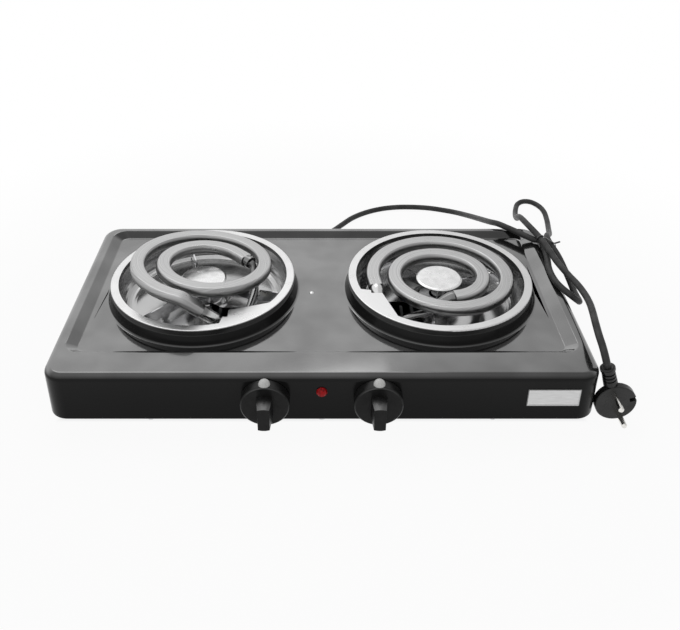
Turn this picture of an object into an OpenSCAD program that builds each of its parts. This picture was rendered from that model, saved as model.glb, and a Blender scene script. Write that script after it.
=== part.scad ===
/* [Body] */
// Width of the pressed body, left to right
body_w = 480; // [440:5:540]
// Depth of the pressed body, front panel to back panel
body_d = 255; // [240:5:290]
// Height of the pressed body, lower edge to rim
body_h = 48; // [44:1:60]
// Plan radius of the four upright corners
corner_r = 18; // [14:1:24]
// Radius rolled along the top edge
edge_r = 5; // [3:0.5:7]
// Thickness of the pressed steel
sheet = 1; // [0.8:0.1:1.2]
// Width of the in-turned flange along the lower edge
flange_w = 10; // [8:1:13]
// Height of the rubber feet under the base plate
foot_h = 6; // [4:0.5:12]
// Radius of a rubber foot
foot_r = 10; // [8:0.5:14]
// Distance of each foot from the body's sides
foot_inset = 34; // [28:1:50]

/* [Deck] */
// Flat rim in front of the sunken deck
rim_front = 35; // [30:1:45]
// Flat rim at each side of the deck
rim_side = 15; // [12:1:22]
// Flat rim behind the deck
rim_back = 9.5; // [8:0.5:14]
// Depth of the deck below the rim
deck_drop = 6; // [4:0.5:8]
// Plan radius of the deck's corners, at the rim
deck_corner_r = 12; // [9:1:18]

/* [Burners] */
// Distance between the two burner centres
burner_pitch = 234; // [222:2:250]
// Distance of the burner centres behind the body's centre
burner_back = 13; // [8:1:16]
// Radius of the round opening in each raised collar
opening_r = 86; // [84.5:0.5:87]
// Width of the collar's sloping wall and top, outside the opening
collar_w = 6.5; // [6:0.5:9]
// Height of the collar above the deck
collar_h = 10.5; // [8:0.5:14]
// Outer radius of the trim ring
ring_r = 90.3; // [89.6:0.1:91.5]
// Width of the trim ring's flat top
ring_face = 7.8; // [7:0.1:8.6]
// Height of the trim ring above the collar
ring_h = 5.5; // [4.5:0.5:8]
// Depth of the drip bowl below the collar
bowl_depth = 22.1; // [20:0.1:24]
// Thickness of the drip bowl
bowl_t = 0.8; // [0.6:0.1:1]

/* [Heating coils] */
// Width of the flattened coil tube
coil_w = 14.5; // [12:0.5:15]
// Height of the flat top above the tube's middle
coil_flat = 4.7; // [3.5:0.1:5.5]
// Height of the coil's flat top above the trim ring
coil_proud = 2.5; // [2:0.1:6]
// Height that the left coil stands above its resting level
left_lift = 14.5; // [12:0.5:18]
// Tilt of the left coil about an axis that runs back to the left
left_tilt = 7.5; // [6:0.5:8]
// Diameter of the bright sleeve at each end of the coil
sleeve_d = 12; // [9:0.5:12]
// Diameter of the unheated leg below the sleeve
leg_d = 8; // [6:0.5:8]

/* [Spiders and discs] */
// Thickness of a spider arm
arm_t = 1.5; // [1:0.1:2.5]
// Distance from the spider's middle to the end of an arm
arm_len = 76; // [70:1:77]
// Radius of the round foot on each arm
lobe_r = 5; // [4:0.5:6]
// Distance of the round feet from the middle
lobe_at = 50.5; // [46:0.5:54]
// Radius of the disc in the middle of the coil
disc_r = 22.5; // [18:0.5:23.5]
// Height of the disc above the spider
disc_h = 7.3; // [6:0.1:9]

/* [Controls] */
// Distance between the two knobs
knob_pitch = 97; // [90:1:160]
// Height of the knob axes above the body's lower edge
knob_up = 24; // [22.5:0.5:25.5]
// Radius of the knob's round dial
dial_r = 21; // [19:0.5:22]
// Thickness of the dial
dial_t = 10; // [9:0.5:12]
// How far the grip stands out of the dial
grip_t = 17; // [12:0.5:20]
// Length of the grip bar
grip_len = 23; // [20:0.5:30]
// Width of the grip bar at the dial
grip_root = 14; // [12:0.5:16]
// Width of the grip bar at its front
grip_tip = 10; // [8:0.5:11]
// Gap between the dial and the front panel
knob_gap = 0.8; // [0.5:0.1:1.5]
// Diameter of the thermostat spindle
spindle_d = 6; // [5:0.1:6.5]
// Running clearance around the spindle, on the radius
spindle_clear = 0.05; // [0.02:0.01:0.09]
// Radius of the thermostat's threaded bush
bush_r = 4.8; // [4.4:0.1:5.4]
// Radius of the white pointer bead on the rim of the dial
bead_r = 5; // [3.5:0.1:5]
// Radius of the red lamp lens
lamp_r = 4.7; // [3.5:0.1:6]
// Height of the lamp above the body's lower edge
lamp_up = 31.5; // [26:0.5:34]
// Width of the plain plate on the front panel
badge_w = 45.5; // [40:0.5:50]
// Height of the plain plate
badge_h = 18.3; // [14:0.1:22]
// Distance of the plate's middle from the body's right end
badge_inset = 40.8; // [40.4:0.2:90]

/* [Supply cord] */
// Diameter of the supply cord
cord_d = 6.5; // [6:0.1:6.9]
// Height of the cord's exit above the body's lower edge
exit_up = 17; // [14:0.5:22]
// Length of the cord's strain relief outside the back panel
gland_len = 26; // [20:1:34]
// Radius of the plug's round face
plug_r = 18; // [16:0.5:19]
// Diameter of a plug pin
pin_d = 4.8; // [4:0.1:5]
// Length of a plug pin
pin_len = 19; // [17:0.5:20]
// Distance between the plug pins
pin_pitch = 18.8; // [17:0.1:20]

/* [Hidden] */
$fn = 48;
eps = 0.01;
fit = 0.15; // clearance of a screw, lamp or bush in its hole
seat = 0.3; // rest gap under a loose piece
base_t = 1; // base plate

// heights above the table
z_base = foot_h;
z_low = z_base + base_t;
z_rim = z_low + body_h;
z_deck = z_rim - deck_drop;
z_collar = z_deck + collar_h;
z_ring = z_collar + ring_h;
z_coil = z_ring + coil_proud - coil_flat; // middle of the coil tube
z_spider = z_coil - coil_w / 2 - seat; // top edge of the arms
z_bowl = z_collar - bowl_depth; // lowest outer face of the bowl
z_floor = z_bowl + bowl_t; // its inner floor
z_knob = z_low + knob_up;
z_exit = z_low + exit_up;

// the knobs stand out in front, so the body's centre lies behind the origin
knob_reach = knob_gap + dial_t + grip_t - 0.8;
body_y = knob_reach / 2;
front_y = -body_d / 2;
back_y = body_d / 2;

// the sunken deck, at the rim
deck_w = body_w - 2 * rim_side;
deck_d = body_d - rim_front - rim_back;
deck_y = (rim_front - rim_back) / 2;

// collar and ring
collar_r = opening_r + collar_w;
ring_inner = ring_r - ring_face;
ring_t = 1;
bowl_rim_r = opening_r + 2.6;
bowl_r = ring_inner + 0.5; // inside of the bowl's upright wall

// coil: straight start, then four arcs that tighten clockwise, [radius, sweep]
coil_start = [-63.6, -19];
coil_heading = 97;
coil_run = 12;
coil_arcs = [[66, 177], [56, 163], [44.5, 168]];
coil_last_r = 37.5;
right_sweep = 122;
left_sweep = 72;
left_run = 15.5; // straight stretch before the left coil's inner end
left_turn = 77.5; // the left coil lies turned by this much
left_shift = [4.85, -3.5];
tilt_axis = [-0.64, 0.77, 0];

// cold ends go down here, in the burner's own frame
post_y = -45;
post_outer = -61;
post_inner = -45;
z_bracket = z_bowl - 9;
z_post = z_bracket - 7; // lower end of a cold end
bush_flange = 2.2; // ceramic outside the leg's bore, above and below the bracket
bush_wall = 3.4;
bush_bore = leg_d / 2 + 2.5 * fit;
bracket_t = 1.5;
bracket_x = [post_outer - 17, post_inner + 16];
bracket_w = 26;
slot_x = [-70, -17];
slot_y = [-63, -7];

// spider
arm_first = -102;
arm_low = z_floor + lobe_r + seat; // lower edge of an arm, and middle of a foot
hub_r = 7;
notch_low = arm_low + lobe_r + 0.1; // the first arm is notched where the coil's leg crosses it
notch_w = 10.6;
notch_right = 41;
notch_left = 52;

// thermostats
thermo = [34, 26, 30];
thermo_gap = 2.5; // bracket between panel and body
screw_gap = 28;
boss_r = 7;
dial_wall = 2.2;

// supply cord
exit_x = 0;
cord_r = cord_d / 2;
y_gland = back_y + gland_len;
plug_at = [257.6, -119.5, plug_r]; // middle of the face that holds the pins
plug_lean = 17.8;
plug_neck_y = 7; // the neck's axis behind that face
plug_neck = 37;
sheath_end = back_y - 26.5; // where the sheath ends inside
block = [36, 18, 15];
block_y = back_y - 52;

// ---------- points and sweeps ----------
function unit(v) = v / norm(v);
function turned(p, a) = [p[0] * cos(a) - p[1] * sin(a), p[0] * sin(a) + p[1] * cos(a), p[2]];
function about(p, n, a) = // p turned by a about the unit axis n
    p * cos(a) + cross(n, p) * sin(a) + n * (n * p) * (1 - cos(a));

// Catmull-Rom curve through hand-set points, with steps stretches between each pair
function knot(p, i) = p[max(0, min(len(p) - 1, i))];
function curve(p, steps) = concat(
    [for (i = [0 : len(p) - 2], s = [0 : steps - 1]) let (t = s / steps)
        0.5 * (2 * knot(p, i) + t * (knot(p, i + 1) - knot(p, i - 1))
        + t * t * (2 * knot(p, i - 1) - 5 * knot(p, i) + 4 * knot(p, i + 1) - knot(p, i + 2))
        + t * t * t * (3 * knot(p, i) - knot(p, i - 1) - 3 * knot(p, i + 1) + knot(p, i + 2)))],
    [p[len(p) - 1]]);

// a section, given as [sideways, upwards] points, swept along a path; the section stays upright
// where up is given, and otherwise is carried along without twist
function along(path, i) = unit(path[min(len(path) - 1, i + 1)] - path[max(0, i - 1)]);
function carried(path, i, side) = i >= len(path) ? [] :
    let (t = along(path, i), s = unit(side - t * (side * t))) concat([s], carried(path, i + 1, s));
function sides_of(path, up) = is_undef(up)
    ? carried(path, 0, cross(along(path, 0), [0.31, 0.23, 0.92]))
    : [for (i = [0 : len(path) - 1]) unit(cross(along(path, i), up))];
module sweep(path, section, up) {
    n = len(path);
    m = len(section);
    sides = sides_of(path, up);
    points = [for (i = [0 : n - 1]) let (top = cross(sides[i], along(path, i)))
        for (q = section) path[i] + sides[i] * q[0] + top * q[1]];
    start = [for (j = [0 : m - 1]) j];
    end = [for (j = [m - 1 : -1 : 0]) (n - 1) * m + j];
    skin = [for (i = [0 : n - 2], j = [0 : m - 1]) let (k = (j + 1) % m)
        each [[i * m + j, (i + 1) * m + j, (i + 1) * m + k], [i * m + j, (i + 1) * m + k, i * m + k]]];
    polyhedron(points, concat([start, end], skin));
}
function ring_points(r, sides) = [for (j = [0 : sides - 1]) let (a = 360 * j / sides) [r * cos(a), r * sin(a)]];

// ---------- shared shapes ----------
module in_body() { translate([0, body_y, 0]) children(); }
module at_burner(side) {
    in_body() translate([side * burner_pitch / 2, burner_back, 0])
        rotate([0, 0, side < 0 ? 90 : 0]) children();
}
module at_knob(side) { // +Z points out of the front panel, at the knob's axis
    in_body() translate([side * knob_pitch / 2, front_y, z_knob]) rotate([90, 0, 0]) children();
}
module rounded(w, d, r) {
    square([w - 2 * r, d], center = true);
    square([w, d - 2 * r], center = true);
    for (x = [-1, 1], y = [-1, 1]) translate([x * (w / 2 - r), y * (d / 2 - r)]) circle(r);
}
// a section set round a rounded rectangle: x of the section runs outwards from the corner's centre
module around(w, d, r) {
    for (s = [-1, 1]) {
        translate([s * (w / 2 - r), 0, 0]) rotate([90, 0, s < 0 ? 180 : 0])
            linear_extrude(d - 2 * r, center = true) children();
        translate([0, s * (d / 2 - r), 0]) rotate([90, 0, s < 0 ? -90 : 90])
            linear_extrude(w - 2 * r, center = true) children();
    }
    for (q = [0 : 3]) {
        sx = (q == 0 || q == 3) ? 1 : -1;
        sy = q < 2 ? 1 : -1;
        translate([sx * (w / 2 - r), sy * (d / 2 - r), 0]) rotate([0, 0, q * 90])
            rotate_extrude(angle = 90) children();
    }
}

// ---------- body ----------
module wall_section() { // flange, upright wall and rolled top edge
    translate([corner_r - flange_w, z_low]) square([flange_w, sheet]);
    translate([corner_r - sheet, z_low]) square([sheet, body_h - edge_r]);
    translate([corner_r - edge_r, z_rim - edge_r]) intersection() {
        difference() {
            circle(edge_r);
            circle(edge_r - sheet);
        }
        square(edge_r);
    }
}
module deck_slope_section() { // the short slope from the rim down to the deck
    r = deck_corner_r;
    polygon([[r + sheet, z_rim], [r, z_rim], [r - deck_drop, z_deck],
        [r - deck_drop, z_deck - sheet], [r + sheet, z_rim - sheet]]);
}
module collar_section() {
    polygon([[opening_r, z_collar], [collar_r - 3.5, z_collar], [collar_r - 2.6, z_collar - 0.8],
        [collar_r, z_deck + 1.2], [collar_r + 1.6, z_deck], [collar_r + 3, z_deck],
        [collar_r + 3, z_deck - sheet], [collar_r + 1, z_deck - sheet],
        [collar_r - 1, z_deck + 0.8], [collar_r - 3.6, z_collar - sheet], [opening_r, z_collar - sheet]]);
}
module top_cover() {
    color([0.06, 0.06, 0.065]) in_body() difference() {
        union() {
            around(body_w, body_d, corner_r) wall_section();
            translate([0, 0, z_rim - sheet]) linear_extrude(sheet) difference() {
                rounded(body_w - 2 * edge_r, body_d - 2 * edge_r, corner_r - edge_r);
                translate([0, deck_y]) rounded(deck_w, deck_d, deck_corner_r);
            }
            translate([0, deck_y, 0]) around(deck_w, deck_d, deck_corner_r) deck_slope_section();
            translate([0, 0, z_deck - sheet]) linear_extrude(sheet) difference() {
                translate([0, deck_y])
                    rounded(deck_w - 2 * deck_drop, deck_d - 2 * deck_drop, deck_corner_r - deck_drop);
                for (s = [-1, 1]) translate([s * burner_pitch / 2, burner_back]) circle(collar_r + 3);
                translate([rivet_at[0], rivet_at[1]]) circle(rivet_r);
            }
            for (s = [-1, 1]) translate([s * burner_pitch / 2, burner_back, 0])
                rotate_extrude() collar_section();
        }
        for (s = [-1, 1]) translate([s * knob_pitch / 2, front_y, z_knob]) rotate([90, 0, 0]) {
            cylinder(r = bush_r + fit, h = 4 * sheet, center = true);
            for (x = [-1, 1]) translate([x * screw_gap / 2, 0, 0])
                cylinder(r = 2 + fit, h = 4 * sheet, center = true);
        }
        translate([0, front_y, z_low + lamp_up]) rotate([90, 0, 0])
            cylinder(r = lamp_r - 1 + fit, h = 4 * sheet, center = true);
        translate([exit_x, back_y, z_exit]) rotate([90, 0, 0])
            cylinder(r = cord_r + 2.2 + fit, h = 4 * sheet, center = true);
        for (p = screw_places) translate([p[0], p[1], z_low - eps])
            cylinder(r = 1.5, h = sheet + 2 * eps);
    }
}
rivet_at = [-9.7, 6];
rivet_r = 1.6;
screw_in = flange_w / 2 + sheet / 2; // screw line from the body's outside
screw_places = [for (x = [-1, 0, 1], y = [-1, 1])
    [x * (body_w / 2 - 90), y * (body_d / 2 - screw_in)]];
foot_places = [for (x = [-1, 1], y = [-1, 1])
    [x * (body_w / 2 - foot_inset), y * (body_d / 2 - foot_inset)]];

module base_plate() {
    gap = 2.5;
    color([0.62, 0.63, 0.64]) in_body() translate([0, 0, z_base]) difference() {
        linear_extrude(base_t) rounded(body_w - 2 * gap, body_d - 2 * gap, corner_r - gap);
        for (p = screw_places) translate([p[0], p[1], -eps]) cylinder(r = 1.6, h = base_t + 2 * eps);
        for (p = foot_places) translate([p[0], p[1], -eps]) cylinder(r = 2.1, h = base_t + 2 * eps);
        for (s = [-1, 1], i = [-4 : 4]) // vent slots under each burner
            translate([s * burner_pitch / 2 + i * 11, burner_back + 10, -eps]) vent(42);
        for (i = [-3 : 3]) translate([i * 11, -60, -eps]) vent(26);
        translate([earth_at[0], earth_at[1], -eps]) cylinder(r = 2.1, h = base_t + 2 * eps);
        for (x = [-1, 1]) translate([exit_x + x * block_hole, block_y, -eps])
            cylinder(r = 1.6, h = base_t + 2 * eps);
    }
}
module vent(long) {
    linear_extrude(base_t + 2 * eps) {
        square([3, long - 3], center = true);
        for (s = [-1, 1]) translate([0, s * (long - 3) / 2]) circle(1.5);
    }
}
earth_at = [exit_x + 42, back_y - 40];
block_hole = 22;
clamp_hole = 9;
clamp_y = back_y - 20;

module pan_screw(d, head_d, head_h, long) { // head below z = 0, shank upwards
    translate([0, 0, -head_h]) difference() {
        cylinder(d = head_d, h = head_h);
        for (a = [0, 90]) rotate([0, 0, a]) translate([0, 0, head_h / 4])
            cube([head_d * 0.55, 0.9, head_h / 2 + 2 * eps], center = true);
    }
    translate([0, 0, -eps]) cylinder(d = d, h = long + eps);
}
module base_screws() {
    color([0.7, 0.7, 0.72]) in_body() for (p = screw_places) translate([p[0], p[1], z_base])
        pan_screw(2.9, 6, 1.8, base_t + sheet + 3);
}
module rubber_feet() {
    color([0.09, 0.09, 0.09]) in_body() for (p = foot_places) translate([p[0], p[1], 0])
        rotate_extrude() polygon([[4.2, 0], [foot_r - 1.5, 0], [foot_r - 1, 0.5], [foot_r, foot_h],
            [2.1, foot_h], [2.1, foot_h - 2.4], [4.2, foot_h - 2.4]]);
}
module foot_screws() {
    color([0.7, 0.7, 0.72]) in_body() for (p = foot_places) {
        translate([p[0], p[1], foot_h - 2.4]) pan_screw(4, 7.6, 1.9, 2.4 + base_t + 3.4);
        translate([p[0], p[1], z_base + base_t]) difference() {
            cylinder(r = 4, h = 2.8, $fn = 6);
            translate([0, 0, -eps]) cylinder(r = 2.02, h = 3);
        }
    }
}
module deck_rivet() {
    color([0.8, 0.8, 0.8]) in_body() translate([rivet_at[0], rivet_at[1], z_deck]) {
        intersection() {
            translate([0, 0, -2.2]) sphere(3.2);
            translate([0, 0, 0]) cylinder(r = 2.4, h = 2);
        }
        translate([0, 0, -sheet - 1.5]) cylinder(r = rivet_r, h = sheet + 1.5 + eps);
        translate([0, 0, -sheet - 1.5]) cylinder(r = 2.6, h = 1.5);
    }
}

// ---------- burners ----------
module trim_ring(side) {
    color([0.86, 0.87, 0.88]) at_burner(side) {
        rotate_extrude() union() {
            translate([ring_inner, z_ring - ring_t]) square([ring_face - 1, ring_t]);
            translate([ring_r - ring_t, z_collar]) square([ring_t, ring_h - 1]);
            translate([ring_inner, z_collar + bowl_t]) square([ring_t, ring_h - bowl_t]);
            translate([ring_r - 1, z_ring - 1]) intersection() {
                circle(1);
                square(1);
            }
        }
        intersection() { // the flat plate over the coil's ends, notched where the outer end dips under it
            translate([0, 0, z_ring - ring_t]) cylinder(r = ring_inner + 0.5, h = ring_t);
            translate([0, 0, z_ring - ring_t]) linear_extrude(ring_t)
                polygon([[-95, -20.8], [-69.2, -26], [-69.2, -30.6], [-58.7, -30.6], [-41.1, -86], [-95, -86]]);
        }
    }
}
module drip_bowl(side) {
    color([0.8, 0.81, 0.82]) at_burner(side) difference() {
        rotate_extrude() bowl_section();
        translate([slot_x[0], slot_y[0], z_bowl - 1])
            cube([slot_x[1] - slot_x[0], slot_y[1] - slot_y[0], 11]);
    }
}
function arc(at, r, from, to) = // points of an arc about a point
    [for (k = [0 : 10]) let (a = from + (to - from) * k / 10) [at[0] + r * cos(a), at[1] + r * sin(a)]];
module bowl_section() { // inner face first, then back along the outer face
    t = bowl_t;
    round_r = 15;
    boss = 5;
    bottom = [bowl_r - round_r, z_floor + round_r];
    polygon(concat([[bowl_rim_r, z_collar], [bowl_rim_r, z_collar + t], [bowl_r, z_collar + t]],
        arc(bottom, round_r, 0, -90),
        arc([27, z_floor + 6], 6, -90, -130), arc([18, z_floor + boss - 4], 4, 50, 90),
        [[9, z_floor + boss], [9, z_floor + boss - t]],
        arc([18, z_floor + boss - 4], 4 - t, 90, 50), arc([27, z_floor + 6], 6 + t, -130, -90),
        arc(bottom, round_r + t, -90, 0), [[bowl_r + t, z_collar]]));
}
module spider(side) {
    color([0.75, 0.76, 0.77]) at_burner(side) {
        for (a = [0, 120, 240]) rotate([0, 0, arm_first + a]) {
            difference() {
                translate([hub_r - 1, -arm_t / 2, arm_low])
                    cube([arm_len - hub_r + 1, arm_t, z_spider - arm_low]);
                if (a == 0) translate([(side < 0 ? notch_left : notch_right) - notch_w / 2, -arm_t, notch_low])
                    cube([notch_w, 2 * arm_t, z_spider]);
            }
            translate([lobe_at, arm_t / 2 + 0.4, arm_low]) rotate([90, 0, 0]) cylinder(r = lobe_r, h = arm_t + 0.8);
        }
        translate([0, 0, arm_low]) difference() {
            cylinder(r = hub_r, h = z_spider - arm_low);
            translate([0, 0, -eps]) cylinder(r = hub_r - 1.5, h = z_spider - arm_low + 2 * eps);
        }
    }
}
module centre_disc(side) {
    color([0.9, 0.9, 0.9]) at_burner(side) translate([0, 0, z_spider]) rotate_extrude()
        polygon([[0, disc_h - 2], [10, disc_h - 2], [10, 0], [11.5, 0], [11.5, disc_h - 2],
            [disc_r - 0.6, disc_h - 2], [disc_r, disc_h - 1.4], [disc_r, disc_h - 0.9],
            [disc_r - 1.4, disc_h - 0.1], [disc_r - 2, disc_h], [0, disc_h]]);
}

// ---------- heating coils ----------
// places along the coil's plan, from its outer end, as [x, y] with the heading as third value
function arc_step(s, r, a) = // s = [x, y, heading]; a clockwise arc of radius r through a degrees
    [s[0] + r * (sin(s[2]) - sin(s[2] - a)), s[1] - r * (cos(s[2]) - cos(s[2] - a)), s[2] - a];
function coil_from(s, arcs, i) = i >= len(arcs) ? [s] :
    let (n = ceil(arcs[i][1] / 9))
    concat([for (k = [0 : n - 1]) arc_step(s, arcs[i][0], arcs[i][1] * k / n)],
        coil_from(arc_step(s, arcs[i][0], arcs[i][1]), arcs, i + 1));
coil_at = [coil_start[0] + coil_run * cos(coil_heading), coil_start[1] + coil_run * sin(coil_heading),
    coil_heading];
function coil_plan(last) = concat([[coil_start[0], coil_start[1], coil_heading]],
    coil_from(coil_at, concat(coil_arcs, [[coil_last_r, last]]), 0));
function flat_coil(last) = [for (p = coil_plan(last)) [p[0], p[1], 0]];
// the left coil is turned, tilted and lifted, in a frame that isn't turned by 90 as its bowl is
function lifted(p) = about(turned(p, left_turn), unit(tilt_axis), left_tilt)
    + [left_shift[0], left_shift[1], left_lift];
left_up = about([0, 0, 1], unit(tilt_axis), left_tilt);
right_spiral = flat_coil(right_sweep);
left_plan = flat_coil(left_sweep);
left_rigid = [for (i = [2 : len(left_plan) - 1]) lifted(left_plan[i])];
left_on = unit(left_rigid[len(left_rigid) - 1] - left_rigid[len(left_rigid) - 2]);
left_spiral = concat(left_rigid, [left_rigid[len(left_rigid) - 1] + left_on * left_run]);
left_leg = [[6, -66.3, 7.3], [0, -67, 12.6], [-6, -67.6, 17.6]]; // bent down at its outer end

// the tube is round below and pressed flat on top
flat_angle = asin(coil_flat / (coil_w / 2));
coil_section = [for (k = [0 : 12]) let (a = -180 - flat_angle + k * (180 + 2 * flat_angle) / 12)
    [coil_w / 2 * cos(a), coil_w / 2 * sin(a)]];

module coil(side) {
    color([0.72, 0.72, 0.71]) in_body() translate([side * burner_pitch / 2, burner_back, z_coil])
        if (side > 0) sweep(right_spiral, coil_section, [0, 0, 1]);
        else sweep(concat(curve(concat(left_leg, [left_spiral[0], left_spiral[1]]), 2),
            [for (i = [2 : len(left_spiral) - 1]) left_spiral[i]]), coil_section, left_up);
}
module heating_coil_left() { coil(-1); }
module heating_coil_right() { coil(1); }

// cold ends: a bright sleeve, and a thinner leg down to the terminal; heights from the coil's middle
drop = z_post - z_coil;
joint = 0.5; // dark joint between the coil and its sleeve
right_start = right_spiral[0];
right_end = right_spiral[len(right_spiral) - 1];
right_on = unit(right_end - right_spiral[len(right_spiral) - 2]);
left_end = left_spiral[len(left_spiral) - 1];
left_down = unit(left_leg[0] - left_leg[1]);
sleeves_right = [
    [right_start + [0.06, -joint, 0], right_start + [0.5, -4, -0.5], [-62.6, -26, -3.6], [-62.2, -29.5, -6.6]],
    [right_end + right_on * joint, right_end + right_on * 4 + [0, 0, -0.4], [2, -37, -2.4], [-3, -38.6, -5.2]]];
legs_right = [
    [[-62.5, -28, -5.3], [-61.6, -36, -12.5], [post_outer, -42.5, -20], [post_outer, post_y, -28],
        [post_outer, post_y, drop]],
    [[-1.5, -38, -4.4], [-8.5, -40, -9.4], [-18, -42, -13.4], [-32, -44.4, -16.5], [-41, post_y, -21.5],
        [post_inner, post_y, -28.5], [post_inner, post_y, drop]]];
sleeves_left = [
    [left_leg[0] + left_down * joint, left_leg[0] + left_down * 5, left_leg[0] + left_down * 17],
    [left_end + left_on * joint, left_end + left_on * 2.2, left_end + left_on * 4,
        left_end + left_on * 6.3 + [0, 0, -0.3]]];
legs_left = [
    [left_leg[0] + left_down * 16, [24.5, -64.2, -9.4], [34, -62.5, -17.5], [42.5, post_outer - 0.3, -25],
        [-post_y, post_outer, -31], [-post_y, post_outer, drop]],
    [left_end + left_on * 4 + [0.17, 0.03, -0.37], [48.6, 12.4, 3.2], [49.2, 5, -5], [50.6, -4, -9], [51, -12, -9.9],
        [48.8, -26, -13.2], [46, -37.5, -17.5], [-post_y, post_inner + 1.2, -23.5], [-post_y, post_inner, -31],
        [-post_y, post_inner, drop]]];
module cold_end(sleeve, leg) {
    sweep(curve(sleeve, 4), ring_points(sleeve_d / 2, 16));
    sweep(curve(leg, 4), ring_points(leg_d / 2, 12));
    foot = leg[len(leg) - 1];
    translate([foot[0], foot[1], foot[2] - 7]) cylinder(r = 2, h = 7 + eps);
}
module cold_ends_left() {
    color([0.78, 0.79, 0.8]) in_body() translate([-burner_pitch / 2, burner_back, z_coil])
        for (i = [0, 1]) cold_end(sleeves_left[i], legs_left[i]);
}
module cold_ends_right() {
    color([0.78, 0.79, 0.8]) in_body() translate([burner_pitch / 2, burner_back, z_coil])
        for (i = [0, 1]) cold_end(sleeves_right[i], legs_right[i]);
}
module ceramic_bushes(side) {
    color([0.93, 0.92, 0.88]) at_burner(side)
        for (x = [post_outer, post_inner]) translate([x, post_y, z_bracket - 5]) difference() {
            union() {
                cylinder(r = bush_bore + bush_wall, h = 5);
                cylinder(r = bush_bore + bush_flange, h = 5 + bracket_t + 1.5);
            }
            translate([0, 0, -eps]) cylinder(r = bush_bore, h = 10);
        }
}
module coil_bracket(side) { // a bridge that stands on the base plate
    foot = 8;
    color([0.66, 0.67, 0.68]) at_burner(side) translate([0, post_y - bracket_w / 2, 0]) difference() {
        union() {
            translate([bracket_x[0], 0, z_bracket]) cube([bracket_x[1] - bracket_x[0], bracket_w, bracket_t]);
            for (x = [bracket_x[0], bracket_x[1] - bracket_t])
                translate([x, 0, z_low]) cube([bracket_t, bracket_w, z_bracket - z_low + eps]);
            for (x = [bracket_x[0] - foot, bracket_x[1] - eps])
                translate([x, 0, z_low]) cube([foot + eps, bracket_w, bracket_t]);
        }
        for (x = [post_outer, post_inner]) translate([x, bracket_w / 2, z_bracket - eps])
            cylinder(r = bush_bore + bush_flange + 0.1, h = bracket_t + 2 * eps);
    }
}
module drip_bowl_left() { drip_bowl(-1); }
module drip_bowl_right() { drip_bowl(1); }
module trim_ring_left() { trim_ring(-1); }
module trim_ring_right() { trim_ring(1); }
module spider_left() { spider(-1); }
module spider_right() { spider(1); }
module centre_disc_left() { centre_disc(-1); }
module centre_disc_right() { centre_disc(1); }
module ceramic_bushes_left() { ceramic_bushes(-1); }
module ceramic_bushes_right() { ceramic_bushes(1); }
module coil_bracket_left() { coil_bracket(-1); }
module coil_bracket_right() { coil_bracket(1); }

// ---------- controls, drawn with +Z out of the front panel ----------
module thermostat(side) {
    color([0.86, 0.83, 0.76]) at_knob(side) difference() {
        union() {
            translate([-thermo[0] / 2, -thermo[2] / 2 - 1, -sheet - thermo_gap - thermo[1]])
                cube([thermo[0], thermo[2], thermo[1]]);
            translate([-19, -7, -sheet - thermo_gap]) cube([38, 14, thermo_gap]);
            translate([0, 0, -sheet - thermo_gap]) cylinder(r = bush_r, h = sheet + thermo_gap);
            for (x = [-10, 10]) translate([x - 3.2, -12, -sheet - thermo_gap - thermo[1] - 8])
                cube([6.4, 0.8, 8.5]);
        }
        translate([0, 0, -sheet - thermo_gap - 12]) cylinder(d = spindle_d + 2 * spindle_clear, h = 40);
        for (x = [-1, 1]) translate([x * screw_gap / 2, 0, -sheet - thermo_gap - 8])
            cylinder(r = 1.95, h = 20);
    }
}
module spindle(side) {
    flat = spindle_d / 2 - 1.4;
    color([0.75, 0.66, 0.42]) at_knob(side) {
        translate([0, 0, -sheet - thermo_gap - 11.5]) cylinder(d = spindle_d, h = 11.5 + sheet + thermo_gap + 1);
        intersection() {
            cylinder(d = spindle_d, h = dial_t + 4);
            translate([-spindle_d, -spindle_d, 0]) cube([2 * spindle_d, spindle_d + flat, dial_t + 5]);
        }
    }
}
module thermostat_screws() {
    color([0.7, 0.7, 0.72]) for (s = [-1, 1]) at_knob(s) for (x = [-1, 1])
        translate([x * screw_gap / 2, 0, 0]) rotate([180, 0, 0]) pan_screw(3.9, 7, 1.9, sheet + thermo_gap + 7);
}
module grip_plan() { // seen from the side of its length: wide at the dial, hollow flanks
    difference() {
        polygon([[-grip_root / 2, 0], [grip_root / 2, 0], [grip_tip / 2, grip_t], [-grip_tip / 2, grip_t]]);
        for (s = [-1, 1]) translate([s * (grip_root / 2 + 25.2), grip_t * 0.62]) circle(26.2, $fn = 96);
    }
}
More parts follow.
